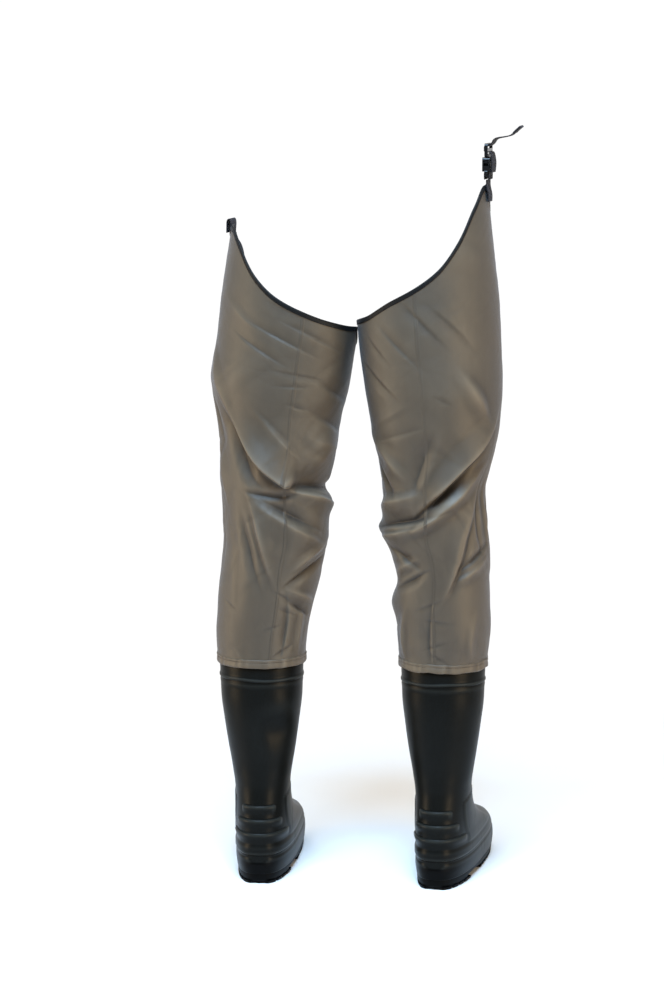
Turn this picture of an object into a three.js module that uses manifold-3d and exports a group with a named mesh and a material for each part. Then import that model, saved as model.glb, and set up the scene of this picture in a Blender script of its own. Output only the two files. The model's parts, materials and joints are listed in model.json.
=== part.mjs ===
// A pair of hip waders standing as worn: PVC boots, nylon legs with a slanted
// top that rises to a peak at the outer hip, and a belt strap with a
// side-release buckle on each peak.
//
// Units are millimetres and +Z is up. The toes point towards -Y and the
// wearer's left is +X. The floor under the soles is Z = 0.

import * as THREE from 'three';
import { mergeVertices } from 'three/addons/utils/BufferGeometryUtils.js';
import Module from 'manifold-3d';

const wasm = await Module();
wasm.setup();

// ---------------------------------------------------------------- clearances

const GAP = 0.3; // between bonded or sewn neighbours
const CUT_GAP = 0.4; // between two lengths of one leg's fabric

// ---------------------------------------------------------------------- boot

const BOOT_SIDES = 24;
const BOOT_WALL = 2.8;
const SHAFT_TOP = 355;
const SHAFT_RADIUS = 61; // the shaft is round at its top
const OUTSOLE_THICKNESS = 16;
const OUTSOLE_LIP = 2.5; // how far the sole stands proud of the upper
const WAIST_LIFT = 7; // the arch of the sole clears the floor by this
const HEEL_LENGTH = 78;
const WAIST_LENGTH = 52;
const TREAD_DEPTH = 3.5;
const TREAD_WIDTH = 6;
const TREAD_PITCH = 17;
const LINING_THICKNESS = 1.2;
const LINING_DROP = 22; // the lining stops this far below the shaft's top
const INSOLE_THICKNESS = 4;
const COLLAR_WIDTH = 22;
const COLLAR_THICKNESS = 3.2;
const RIB_HEIGHTS = [74, 95, 115]; // middle of each rib on the heel
const RIB_WIDTH = 9;
const RIB_DEPTH = 2;
const RIB_ARC = 75; // degrees to each side of the heel
const TWIST_BASE = 168; // the toe-out is whole below this and gone above the top
const TWIST_TOP = 290;
const TOE_INSET = 5; // the toe curves in towards the other foot

// The upper's outline at each height: how far back the heel reaches, how far
// forward the toe reaches, the half widths at the heel and at the ball, and how
// full the outline is, from 1 for an ellipse down to 0 for a rectangle.
const BOOT_SECTIONS = [
  { z: OUTSOLE_THICKNESS + GAP, heel: 55, toe: 224, halfHeel: 38, halfBall: 47, full: 0.74 },
  { z: 42, heel: 57, toe: 224, halfHeel: 40, halfBall: 48, full: 0.74 },
  { z: 62, heel: 57.5, toe: 204, halfHeel: 41, halfBall: 45, full: 0.76 },
  { z: 82, heel: 57, toe: 144, halfHeel: 42, halfBall: 43, full: 0.8 },
  { z: 102, heel: 54.5, toe: 92, halfHeel: 43, halfBall: 43, full: 0.86 },
  { z: 130, heel: 51, toe: 64, halfHeel: 45, halfBall: 45, full: 0.95 },
  { z: 168, heel: 48, toe: 52, halfHeel: 47, halfBall: 47, full: 1 },
  { z: 210, heel: 52.5, toe: 53, halfHeel: 52.5, halfBall: 52.5, full: 1 },
  { z: 290, heel: 59.5, toe: 59.5, halfHeel: 59.5, halfBall: 59.5, full: 1 },
  { z: SHAFT_TOP, heel: SHAFT_RADIUS, toe: SHAFT_RADIUS,
    halfHeel: SHAFT_RADIUS, halfBall: SHAFT_RADIUS, full: 1 },
];

// ---------------------------------------------------------------- leg fabric

const FABRIC = 1.6;
const LEG_SIDES = 24;
const CUFF_OVERLAP = 17; // the fabric reaches this far down over the shaft
const CUFF_THICKNESS = 1.2;
const JOINT_TAPE = 1.5; // the tape that joins the fabric to the shaft
const CUFF_RADIUS = SHAFT_RADIUS + JOINT_TAPE + 2 * GAP + FABRIC;
const KNEE_HEIGHT = SHAFT_TOP + 165;
const KNEE_LENGTH = 200; // the stretch that creases when the leg bends
const BINDING_DEPTH = 9;
const BINDING_THICKNESS = 0.8;
const BINDING_SEAT = 0.9; // the edge stops this far below the fold, measured upright
const PATCH_THICKNESS = 1.2;
const PATCH_HEIGHT = 44;
const SEAM_TAPE_WIDTH = 12; // degrees of the leg's round
const SEAM_TAPE_THICKNESS = 0.6;
const TAPE_GAP = 0.45;

// ------------------------------------------------------------ strap, buckle

const WEB_WIDTH = 36;
const WEB = 1.5;
const ANCHOR_LENGTH = 24; // webbing sewn to the outside of the peak
const HANGING_DROP = 60; // how far a strap turned inwards hangs before its buckle
const BAR_HALF = 2.2;
const BAR_DEPTH = 3.5;
const SLOT_MARGIN = 3;
const SWIVEL_GAP = 0.9; // the strap folds freely at the swivel line
const SOCKET_FOOT = 6; // from the swivel line to the socket's bar
const SOCKET_SLOT = 5;
const SOCKET_LENGTH = 20.5;
const SOCKET_HALF_THICKNESS = 5.5;
const SOCKET_WALL = 2;
const BUCKLE_GAP = 0.6;
const TONGUE_FOOT = 4;
const TONGUE_SLOT = 4;
const TONGUE_BAR = 4;
const TONGUE_HALF_THICKNESS = 2.4;
const PRONG_HALF_WIDTH = 3;
const PRONG_LENGTH = 14;
const ARM_WIDTH = 4;
const ARM_OFFSET = 11; // middle of each arm from the buckle's middle
const BARB_REACH = 5.5;
const BARB_LENGTH = 6;
const WINDOW_LENGTH = 8;

const BUCKLE_WIDTH = WEB_WIDTH + 4 + 2 * SLOT_MARGIN;

// -------------------------------------------------------------- the two legs

// Stations give the fabric's middle (out from the mid plane, and along Y) and
// its two radii, by the height above the shaft's top. Rim points give how far
// the top edge rises above the crotch round the back half of the leg, by the
// angle from the outer hip; the front half dips lower.
const LEFT = {
  name: 'left',
  side: 1,
  ankle: { out: 146, y: 12 },
  toeOut: 7,
  seamAngle: 110,
  stations: [
    { up: -CUFF_OVERLAP, out: 146, y: 12, rx: CUFF_RADIUS, ry: CUFF_RADIUS },
    { up: 5, out: 146, y: 12, rx: CUFF_RADIUS, ry: CUFF_RADIUS },
    { up: 85, out: 139, y: 9, rx: CUFF_RADIUS + 7.3, ry: CUFF_RADIUS + 6.3 },
    { up: 179, out: 124, y: 6, rx: 81, ry: 78 },
    { up: 240, out: 126, y: 4, rx: 82, ry: 81 },
    { up: 332, out: 122, y: 0, rx: 90, ry: 86 },
    { up: 423, out: 114, y: 0, rx: 103, ry: 94 },
    { up: 493, out: 106.5, y: 0, rx: 104.5, ry: 98 },
    { up: 560, out: 99, y: 0, rx: 103, ry: 98 },
    { up: 645, out: 89, y: 0, rx: 99, ry: 95 },
  ],
  inseam: 492, // from the shaft's top to the crotch
  rim: [
    { angle: 0, rise: 151 }, { angle: 10, rise: 150 }, { angle: 30, rise: 144 },
    { angle: 50, rise: 112 }, { angle: 70, rise: 77 }, { angle: 90, rise: 49 },
    { angle: 110, rise: 30 }, { angle: 140, rise: 11 }, { angle: 180, rise: 0 },
  ],
  frontDip: 42,
  strapStands: false,
};

const RIGHT = {
  name: 'right',
  side: -1,
  ankle: { out: 131, y: -12 },
  toeOut: 3,
  seamAngle: 90,
  stations: [
    { up: -CUFF_OVERLAP, out: 131, y: -12, rx: CUFF_RADIUS, ry: CUFF_RADIUS },
    { up: 5, out: 131, y: -12, rx: CUFF_RADIUS, ry: CUFF_RADIUS },
    { up: 85, out: 130, y: -9, rx: CUFF_RADIUS + 5.3, ry: CUFF_RADIUS + 5.3 },
    { up: 148, out: 128, y: -6, rx: 73, ry: 74 },
    { up: 205, out: 119, y: -4, rx: 79, ry: 78 },
    { up: 265, out: 117, y: -2, rx: 80, ry: 81 },
    { up: 344, out: 120, y: 0, rx: 93, ry: 87 },
    { up: 434, out: 113, y: 0, rx: 103, ry: 95 },
    { up: 501, out: 108, y: 0, rx: 106, ry: 98 },
    { up: 585, out: 102, y: 0, rx: 106, ry: 98 },
    { up: 707, out: 91, y: 0, rx: 103, ry: 96 },
  ],
  inseam: 501, // from the shaft's top to the crotch
  rim: [
    { angle: 0, rise: 204 }, { angle: 10, rise: 202 }, { angle: 30, rise: 174 },
    { angle: 50, rise: 124 }, { angle: 70, rise: 82 }, { angle: 90, rise: 58 },
    { angle: 110, rise: 38 }, { angle: 140, rise: 12 }, { angle: 180, rise: 0 },
  ],
  frontDip: 42,
  strapStands: true,
};

// ----------------------------------------------------------------- materials

const material = (color, roughness) =>
  new THREE.MeshStandardMaterial({ color, roughness, metalness: 0 });

const NYLON = () => material(0x76695a, 0.55);
const NYLON_TRIM = () => material(0x2f2c26, 0.7);
const BOOT_PVC = () => material(0x252824, 0.4);
const SOLE_PVC = () => material(0x121212, 0.6);
const LINING_KNIT = () => material(0x8a8578, 0.9);
const WEBBING = () => material(0x17171b, 0.75);
const BUCKLE_PLASTIC = () => material(0x101012, 0.35);

// ------------------------------------------------------------ small helpers

const lerp = THREE.MathUtils.lerp;
const radians = THREE.MathUtils.degToRad;

// Straight interpolation of every numeric field of a list sorted by one key.
function interpolate(list, key, value) {
  const last = list.length - 2;
  let i = 0;
  while (i < last && list[i + 1][key] < value) i += 1;
  const from = list[i];
  const to = list[i + 1];
  const share = (value - from[key]) / (to[key] - from[key]);
  const result = {};
  for (const field of Object.keys(from)) result[field] = lerp(from[field], to[field], share);
  return result;
}

// A closed geometry from points and triangles, wound so that it faces out.
function solid(points, triangles) {
  let volume = 0;
  const cross = new THREE.Vector3();
  for (const [a, b, c] of triangles) {
    volume += points[a].dot(cross.crossVectors(points[b], points[c]));
  }
  const faces = volume < 0 ? triangles.map(([a, b, c]) => [a, c, b]) : triangles;
  const geometry = new THREE.BufferGeometry();
  geometry.setFromPoints(points);
  geometry.setIndex(faces.flat());
  return geometry;
}

// Skins a row of rings that have the same number of points. A looped row joins
// its last ring to its first, as a tube's wall does; any other gets two caps.
// Each four-sided facet is split from its lower ring to its upper one, so that
// skins that lie inside each other are split alike.
function loft(rings, looped, cap = capRing) {
  const count = rings[0].length;
  const points = rings.flat();
  const triangles = [];
  const bands = looped ? rings.length : rings.length - 1;
  for (let band = 0; band < bands; band += 1) {
    const here = band * count;
    const there = ((band + 1) % rings.length) * count;
    const rising = points[there].z >= points[here].z;
    for (let i = 0; i < count; i += 1) {
      const j = (i + 1) % count;
      if (rising) {
        triangles.push([here + i, here + j, there + j]);
        triangles.push([here + i, there + j, there + i]);
      } else {
        triangles.push([here + i, here + j, there + i]);
        triangles.push([here + j, there + j, there + i]);
      }
    }
  }
  if (!looped) {
    cap(points, triangles, 0, rings[0], false);
    cap(points, triangles, (rings.length - 1) * count, rings.at(-1), true);
  }
  return solid(points, triangles);
}

function capRing(points, triangles, start, ring, top) {
  const middle = points.length;
  const centre = new THREE.Vector3();
  for (const point of ring) centre.addScaledVector(point, 1 / ring.length);
  points.push(centre);
  for (let i = 0; i < ring.length; i += 1) {
    const j = (i + 1) % ring.length;
    triangles.push(top ? [start + i, start + j, middle] : [start + j, start + i, middle]);
  }
}

// For a ring that goes out along one side of a curved strip and back along the
// other, whose middle may lie outside it.
function capStrip(points, triangles, start, ring, top) {
  const last = start + ring.length - 1;
  for (let i = 0; i < ring.length / 2 - 1; i += 1) {
    const [a, b, c, d] = [start + i, start + i + 1, last - i - 1, last - i];
    triangles.push(top ? [a, b, c] : [c, b, a]);
    triangles.push(top ? [a, c, d] : [d, c, a]);
  }
}

function toManifold(geometry) {
  const bare = geometry.clone();
  bare.deleteAttribute('normal');
  bare.deleteAttribute('uv');
  const merged = mergeVertices(bare);
  return new wasm.Manifold(new wasm.Mesh({
    numProp: 3,
    vertProperties: new Float32Array(merged.attributes.position.array),
    triVerts: new Uint32Array(merged.index.array),
  }));
}

function fromManifold(body) {
  const mesh = body.getMesh();
  const geometry = new THREE.BufferGeometry();
  geometry.setAttribute('position', new THREE.BufferAttribute(mesh.vertProperties, 3));
  geometry.setIndex(new THREE.BufferAttribute(mesh.triVerts, 1));
  return geometry;
}

function box(from, to) {
  const size = new THREE.Vector3(...to).sub(new THREE.Vector3(...from));
  const geometry = new THREE.BoxGeometry(size.x, size.y, size.z);
  return geometry.translate(
    (from[0] + to[0]) / 2, (from[1] + to[1]) / 2, (from[2] + to[2]) / 2);
}

function cut(geometry, ...tools) {
  let body = toManifold(geometry);
  for (const tool of tools) body = body.subtract(toManifold(tool));
  return fromManifold(body);
}

function join(geometry, ...others) {
  let body = toManifold(geometry);
  for (const other of others) body = body.add(toManifold(other));
  return fromManifold(body);
}

const model = new THREE.Group();

function addPiece(leg, name, geometry, finish) {
  const mesh = new THREE.Mesh(geometry, finish);
  mesh.name = `${leg.name}_${name}`;
  model.add(mesh);
}

// ---------------------------------------------------------------------- boot

// A point in the boot's own directions (out to the side, back, up) placed in
// the world: turned by the toe-out and set on the ankle's axis. The turn fades
// up the shaft, whose round top lines up with the fabric's facets.
function bootPoint(leg, out, back, z) {
  const fade = (TWIST_TOP - z) / (TWIST_TOP - TWIST_BASE);
  const turn = radians(leg.toeOut * THREE.MathUtils.clamp(fade, 0, 1));
  const side = out * Math.cos(turn) - back * Math.sin(turn);
  const y = out * Math.sin(turn) + back * Math.cos(turn);
  return new THREE.Vector3(leg.side * (leg.ankle.out + side), leg.ankle.y + y, z);
}

const fuller = (value, power) => Math.sign(value) * Math.abs(value) ** power;

// One outline of the foot or shaft. Angle 0 is the heel and 180 the toe.
function bootRing(leg, sides, z, grow, shape = interpolate(BOOT_SECTIONS, 'z', z), rib = 0) {
  const ring = [];
  for (let i = 0; i < sides; i += 1) {
    const angle = (i / sides) * 2 * Math.PI;
    const towardsToe = (1 - Math.cos(angle)) / 2;
    const middle = (shape.heel - shape.toe) / 2;
    const half = (shape.heel + shape.toe) / 2 + grow;
    const width = lerp(shape.halfHeel, shape.halfBall, towardsToe) + grow;
    const fromHeel = Math.min(angle, 2 * Math.PI - angle);
    const proud = fromHeel < radians(RIB_ARC) ? rib : 0;
    const inset = ((shape.toe - SHAFT_RADIUS) / 160) * TOE_INSET * towardsToe ** 2;
    const out = fuller(Math.sin(angle), shape.full) * (width + proud) - Math.max(inset, 0);
    const back = middle + fuller(Math.cos(angle), shape.full) * (half + proud);
    ring.push(bootPoint(leg, out, back, z));
  }
  return ring;
}

// The inner outline at one height follows the outer one a wall higher, so the
// nearly level top of the toe keeps its thickness too.
function innerShape(z, wall) {
  return interpolate(BOOT_SECTIONS, 'z', Math.min(z + wall, SHAFT_TOP));
}

function makeBoot(leg) {
  const sides = BOOT_SIDES;
  const upperBase = BOOT_SECTIONS[0].z;
  const outer = [];
  const ribEdges = RIB_HEIGHTS.flatMap((z) => [
    { z: z - RIB_WIDTH / 2, rib: 0 }, { z, rib: RIB_DEPTH }, { z: z + RIB_WIDTH / 2, rib: 0 },
  ]);
  const clearOfRibs = BOOT_SECTIONS.filter((section) =>
    RIB_HEIGHTS.every((z) => Math.abs(section.z - z) > RIB_WIDTH / 2));
  const levels = [...clearOfRibs.map(({ z }) => ({ z, rib: 0 })), ...ribEdges];
  levels.sort((a, b) => a.z - b.z);
  for (const { z, rib } of levels) {
    outer.push(bootRing(leg, sides, z, 0, undefined, rib));
  }

  const shellFloor = upperBase + BOOT_WALL;
  const inner = innerRings(leg, sides, shellFloor, SHAFT_TOP, BOOT_WALL);
  addPiece(leg, 'boot_shell', loft([...outer, ...inner.reverse()], false), BOOT_PVC());

  const liningTop = SHAFT_TOP - LINING_DROP;
  const liningSkin = BOOT_WALL + GAP;
  const liningWall = liningSkin + LINING_THICKNESS;
  const liningBase = upperBase + liningSkin;
  const liningFloor = upperBase + liningWall;
  const liningRings = [
    ...innerRings(leg, sides, liningBase, liningTop, liningSkin),
    ...innerRings(leg, sides, liningFloor, liningTop, liningWall).reverse(),
  ];
  addPiece(leg, 'boot_lining', loft(liningRings, false), LINING_KNIT());

  const insoleBase = liningFloor + GAP;
  const insoleTop = insoleBase + INSOLE_THICKNESS;
  const insoleInset = -(liningWall + 2 * GAP + 1);
  const insoleRings = [insoleBase, insoleTop].map((z) =>
    bootRing(leg, sides, z, insoleInset, innerShape(z, liningWall)));
  addPiece(leg, 'insole', loft(insoleRings, false), LINING_KNIT());

  const collarTop = SHAFT_TOP - CUFF_OVERLAP - CUT_GAP;
  addPiece(leg, 'boot_collar', band(leg, sides, collarTop - COLLAR_WIDTH, collarTop,
    GAP, COLLAR_THICKNESS), BOOT_PVC());
  addPiece(leg, 'joint_tape', band(leg, sides, collarTop + 2 * GAP, SHAFT_TOP - GAP,
    GAP, JOINT_TAPE), NYLON_TRIM());

  addPiece(leg, 'outsole', makeOutsole(leg, sides), SOLE_PVC());
}

// Rings of an inner surface. Every inner skin of the boot has its rings at the
// same heights, so that the skins lie evenly inside each other.
function innerRings(leg, sides, floor, top, wall) {
  const between = BOOT_SECTIONS.map((section) => section.z - BOOT_WALL)
    .filter((z) => z > floor + 4 && z < top - 1);
  return [floor, ...between, top].map((z) =>
    bootRing(leg, sides, z, -wall, innerShape(z, wall)));
}

// A band round the outside of the shaft.
function band(leg, sides, from, to, clear, thickness) {
  const rings = [[from, clear], [from, clear + thickness], [to, clear + thickness], [to, clear]]
    .map(([z, grow]) => bootRing(leg, sides, z, grow));
  return loft(rings, true);
}

// A slab in the foot's outline, raised at the waist and grooved across.
function makeOutsole(leg, sides) {
  const shape = BOOT_SECTIONS[0];
  const slab = loft([
    bootRing(leg, sides, 0, OUTSOLE_LIP - 3, shape),
    bootRing(leg, sides, OUTSOLE_THICKNESS / 2, OUTSOLE_LIP, shape),
    bootRing(leg, sides, OUTSOLE_THICKNESS, OUTSOLE_LIP, shape),
  ], false);
  const wide = 80;
  const heelFront = shape.heel - HEEL_LENGTH;
  const waistFront = heelFront - WAIST_LENGTH;
  const tools = [placeOnBoot(leg, box([-wide, waistFront, -1], [wide, heelFront, WAIST_LIFT]))];
  const treads = [];
  for (let back = shape.heel - TREAD_PITCH; back > heelFront + TREAD_WIDTH; back -= TREAD_PITCH) {
    treads.push(back);
  }
  const treadEnd = TREAD_PITCH - shape.toe;
  for (let back = waistFront - TREAD_PITCH; back > treadEnd; back -= TREAD_PITCH) {
    treads.push(back);
  }
  for (const back of treads) {
    tools.push(placeOnBoot(leg,
      box([-wide, back - TREAD_WIDTH / 2, -1], [wide, back + TREAD_WIDTH / 2, TREAD_DEPTH])));
  }
  return cut(slab, ...tools);
}

// Moves a geometry made in the boot's own directions on to the ankle's axis.
function placeOnBoot(leg, geometry) {
  geometry.rotateZ(radians(leg.side * leg.toeOut));
  return geometry.translate(leg.side * leg.ankle.out, leg.ankle.y, 0);
}

// ---------------------------------------------------------------- leg fabric

function rimHeight(leg, angle) {
  const turn = ((angle % 360) + 360) % 360;
  const back = turn <= 180;
  const { rise } = interpolate(leg.rim, 'angle', back ? turn : 360 - turn);
  const height = SHAFT_TOP + leg.inseam + rise;
  return back ? height : height - leg.frontDip * Math.sqrt(Math.sin(radians(360 - turn)));
}

// A length of the leg as rows of points: bottom and top are functions of the
// angle, and every row between them is an even share of the way.
function makeTube(leg, bottom, top, rows) {
  const step = 360 / LEG_SIDES;
  const rowPoint = (column, row, offset) => {
    const angle = column * step;
    const z = lerp(bottom(angle), top(angle), row / rows);
    const { out, y, rx, ry } = interpolate(leg.stations, 'up', z - SHAFT_TOP);
    return new THREE.Vector3(
      leg.side * (out + (rx + offset) * Math.cos(radians(angle))),
      y + (ry + offset) * Math.sin(radians(angle)), z);
  };
  // Any point of the faceted surface, by its angle and its share of the height.
  const point = (angle, share, offset) => {
    const column = Math.floor(angle / step);
    const across = angle / step - column;
    const row = Math.min(Math.floor(share * rows), rows - 1);
    const up = share * rows - row;
    const near = rowPoint(column, row, offset).lerp(rowPoint(column, row + 1, offset), up);
    const far = rowPoint(column + 1, row, offset).lerp(rowPoint(column + 1, row + 1, offset), up);
    return near.lerp(far, across);
  };
  return { leg, rows, step, bottom, top, point };
}

function tubeRing(tube, share, offset) {
  return Array.from({ length: LEG_SIDES }, (unused, i) =>
    tube.point(i * tube.step, share, offset));
}

function tubeWall(tube, outside, inside) {
  const rings = [];
  for (let row = 0; row <= tube.rows; row += 1) rings.push(tubeRing(tube, row / tube.rows, outside));
  for (let row = tube.rows; row >= 0; row -= 1) rings.push(tubeRing(tube, row / tube.rows, inside));
  return loft(rings, true);
}

// A closed patch that lies on the tube's wall between two angles.
function tubePatch(tube, angles, shares, low, high) {
  const rings = shares.map((share) => [
    ...angles.map((angle) => tube.point(angle, share, high)),
    ...[...angles].reverse().map((angle) => tube.point(angle, share, low)),
  ]);
  return loft(rings, false, capStrip);
}

function rowShares(tube, from, to) {
  const between = [];
  for (let row = 0; row <= tube.rows; row += 1) {
    const share = row / tube.rows;
    if (share > from + 0.02 && share < to - 0.02) between.push(share);
  }
  return [from, ...between, to];
}

function makeLegFabric(leg) {
  const hem = SHAFT_TOP - CUFF_OVERLAP;
  const kneeLow = KNEE_HEIGHT - KNEE_LENGTH / 2;
  const kneeHigh = KNEE_HEIGHT + KNEE_LENGTH / 2;
  const rim = (angle) => rimHeight(leg, angle);
  const lower = makeTube(leg, () => hem, () => kneeLow - CUT_GAP, 2);
  const knee = makeTube(leg, () => kneeLow, () => kneeHigh, 3);
  const upper = makeTube(leg, () => kneeHigh + CUT_GAP, rim, 5);
  addPiece(leg, 'fabric_lower', tubeWall(lower, 0, -FABRIC), NYLON());
  addPiece(leg, 'fabric_knee', tubeWall(knee, 0, -FABRIC), NYLON());
  addPiece(leg, 'fabric_upper', tubeWall(upper, 0, -FABRIC), NYLON());

  const cuffShare = (CUFF_OVERLAP + 2) / (kneeLow - hem);
  const cuffRings = [[0, GAP], [0, GAP + CUFF_THICKNESS],
    [cuffShare, GAP + CUFF_THICKNESS], [cuffShare, GAP]]
    .map(([share, offset]) => tubeRing(lower, share, offset));
  addPiece(leg, 'cuff_band', loft(cuffRings, true), NYLON_TRIM());

  addPiece(leg, 'rim_binding', makeBinding(upper), NYLON_TRIM());

  const tapeLow = -FABRIC - TAPE_GAP - SEAM_TAPE_THICKNESS;
  const tapeHigh = -FABRIC - TAPE_GAP;
  const half = SEAM_TAPE_WIDTH / 2;
  const angles = [leg.seamAngle - half, leg.seamAngle, leg.seamAngle + half];
  const tapeStart = (CUFF_OVERLAP + 3) / (kneeLow - hem);
  addPiece(leg, 'seam_tape_lower',
    tubePatch(lower, angles, rowShares(lower, tapeStart, 1), tapeLow, tapeHigh), NYLON_TRIM());
  const bindingShare = BINDING_DEPTH / (rim(leg.seamAngle) - kneeHigh);
  addPiece(leg, 'seam_tape_upper',
    tubePatch(upper, angles, rowShares(upper, 0, 1 - 1.5 * bindingShare), tapeLow, tapeHigh),
    NYLON_TRIM());

  const peakSpan = rim(0) - kneeHigh;
  const patchHigh = 1 - (BINDING_DEPTH + 4) / peakSpan;
  const patchLow = patchHigh - PATCH_HEIGHT / peakSpan;
  const patchAngles = [350, 360, 370];
  addPiece(leg, 'peak_patch',
    tubePatch(upper, patchAngles, rowShares(upper, patchLow, patchHigh),
      -FABRIC - TAPE_GAP - PATCH_THICKNESS, -FABRIC - TAPE_GAP), NYLON());
  return upper;
}

// A tape folded over the top edge: a channel that the fabric's edge sits in.
function makeBinding(tube) {
  const span = (angle) => tube.top(angle) - tube.bottom(angle);
  const outside = GAP + BINDING_THICKNESS;
  const inside = -FABRIC - GAP - BINDING_THICKNESS;
  const profile = [
    [GAP, -BINDING_DEPTH], [outside, -BINDING_DEPTH],
    [outside, BINDING_SEAT + BINDING_THICKNESS], [inside, BINDING_SEAT + BINDING_THICKNESS],
    [inside, -BINDING_DEPTH], [-FABRIC - GAP, -BINDING_DEPTH],
    [-FABRIC - GAP, BINDING_SEAT], [GAP, BINDING_SEAT],
  ];
  const rings = profile.map(([offset, rise]) =>
    Array.from({ length: LEG_SIDES }, (unused, i) => {
      const angle = i * tube.step;
      return tube.point(angle, 1 + rise / span(angle), offset);
    }));
  return loft(rings, true);
}

// ------------------------------------------------------------ strap, buckle

// A flat ribbon of webbing whose middle line is drawn edge on. Points are
// [out, up]; the ribbon is as wide as the webbing, and its last points can be
// thicker where the end is folded over and sewn.
function ribbon(points, thicknesses) {
  const line = points.map(([out, up]) => new THREE.Vector2(out, up));
  const left = [];
  const right = [];
  line.forEach((point, i) => {
    const before = line[Math.max(i - 1, 0)];
    const after = line[Math.min(i + 1, line.length - 1)];
    const along = after.clone().sub(before).normalize();
    const normal = new THREE.Vector2(-along.y, along.x);
    const half = (thicknesses ? thicknesses[i] : WEB) / 2;
    left.push(point.clone().addScaledVector(normal, half));
    right.push(point.clone().addScaledVector(normal, -half));
  });
  return extrudeAcross(new THREE.Shape([...left, ...right.reverse()]), WEB_WIDTH);
}

// Extrudes a shape drawn in [out, up] across the webbing's width.
function extrudeAcross(shape, width) {
  const geometry = new THREE.ExtrudeGeometry(
    shape, { depth: width, bevelEnabled: false, curveSegments: 6 });
  geometry.translate(0, 0, -width / 2);
  return geometry.rotateX(Math.PI / 2);
}

// Extrudes a plate drawn in [across, up] through the buckle's thickness.
function plate(shape, halfThickness) {
  const geometry = new THREE.ExtrudeGeometry(
    shape, { depth: 2 * halfThickness, bevelEnabled: false, curveSegments: 3 });
  geometry.translate(0, 0, -halfThickness);
  geometry.rotateX(Math.PI / 2);
  return geometry.rotateZ(Math.PI / 2);
}

function roundedRectangle(halfWidth, low, high, radius) {
  const shape = new THREE.Shape();
  shape.moveTo(-halfWidth + radius, low);
  shape.lineTo(halfWidth - radius, low);
  shape.absarc(halfWidth - radius, low + radius, radius, -Math.PI / 2, 0);
  shape.lineTo(halfWidth, high - radius);
  shape.absarc(halfWidth - radius, high - radius, radius, 0, Math.PI / 2);
  shape.lineTo(-halfWidth + radius, high);
  shape.absarc(-halfWidth + radius, high - radius, radius, Math.PI / 2, Math.PI);
  shape.lineTo(-halfWidth, low + radius);
  shape.absarc(-halfWidth + radius, low + radius, radius, Math.PI, 1.5 * Math.PI);
  return shape;
}

// The buckle and its webbing in the strap's own directions: X out from the
// leg, Y across the webbing, Z up the strap, from the swivel line at Z = 0.
const socketSlotLow = SOCKET_FOOT + BAR_DEPTH;
const socketBody = socketSlotLow + SOCKET_SLOT - 1;
const socketTop = socketBody + SOCKET_LENGTH;
const tongueBase = socketTop + BUCKLE_GAP;
const lowSlot = tongueBase + TONGUE_FOOT;
const midBar = lowSlot + TONGUE_SLOT;
const highSlot = midBar + TONGUE_BAR;
const topBar = highSlot + TONGUE_SLOT;
const tongueTop = topBar + BAR_DEPTH;
const slotHalf = WEB_WIDTH / 2 + 2;

function webLoop() {
  const half = BAR_HALF + GAP + WEB;
  const low = SWIVEL_GAP;
  const high = socketSlotLow + GAP + WEB;
  const outline = new THREE.Shape();
  outline.moveTo(half, low);
  outline.lineTo(half, high - half);
  outline.absarc(0, high - half, half, 0, Math.PI);
  outline.lineTo(-half, low);
  const inner = half - WEB;
  const hole = new THREE.Path();
  hole.moveTo(inner, low + WEB);
  hole.lineTo(inner, high - WEB);
  hole.lineTo(-inner, high - WEB);
  hole.lineTo(-inner, low + WEB);
  outline.holes.push(hole);
  return extrudeAcross(outline, WEB_WIDTH);
}

function buckleSocket() {
  const halfWidth = BUCKLE_WIDTH / 2;
  const foot = plate(roundedRectangle(halfWidth, SOCKET_FOOT, socketBody + 2, 2), BAR_HALF);
  const body = plate(
    roundedRectangle(halfWidth, socketBody, socketTop, 3), SOCKET_HALF_THICKNESS);
  const cavityHalf = SOCKET_HALF_THICKNESS - SOCKET_WALL;
  const cavitySide = halfWidth - SOCKET_WALL - 1;
  const floor = socketBody + SOCKET_WALL;
  const windowLow = windowStart();
  return cut(join(foot, body),
    box([-9, -slotHalf, socketSlotLow], [9, slotHalf, socketBody]),
    box([-cavityHalf, -cavitySide, floor], [cavityHalf, cavitySide, socketTop + 1]),
    box([-cavityHalf, -halfWidth - 1, windowLow],
      [cavityHalf, halfWidth + 1, windowLow + WINDOW_LENGTH]));
}

function windowStart() {
  return socketTop - 4 - WINDOW_LENGTH;
}

function buckleTongue() {
  const halfWidth = BUCKLE_WIDTH / 2;
  const base = plate(
    roundedRectangle(halfWidth, tongueBase, tongueTop, 3), TONGUE_HALF_THICKNESS);
  const prong = box([-TONGUE_HALF_THICKNESS, -PRONG_HALF_WIDTH, tongueBase - PRONG_LENGTH],
    [TONGUE_HALF_THICKNESS, PRONG_HALF_WIDTH, tongueBase + 1]);
  const through = TONGUE_HALF_THICKNESS + 1;
  return cut(join(base, prong),
    box([-through, -slotHalf, lowSlot], [through, slotHalf, midBar]),
    box([-through, -slotHalf, highSlot], [through, slotHalf, topBar]));
}

// A springy arm with a barb that shows in the socket's side window.
function buckleArm(sign) {
  const near = ARM_OFFSET - ARM_WIDTH / 2;
  const far = ARM_OFFSET + ARM_WIDTH / 2;
  const low = windowStart() + 1;
  const reach = BUCKLE_WIDTH / 2 - 0.5;
  const shape = new THREE.Shape([
    [near, tongueBase - GAP], [near, low], [far, low - 1.5], [reach - BARB_REACH / 2, low],
    [reach, low + BARB_LENGTH / 2], [reach, low + BARB_LENGTH],
    [far, low + BARB_LENGTH], [far, tongueBase - GAP],
  ].map(([across, up]) => new THREE.Vector2(sign * across, up)));
  return plate(shape, TONGUE_HALF_THICKNESS);
}

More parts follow.
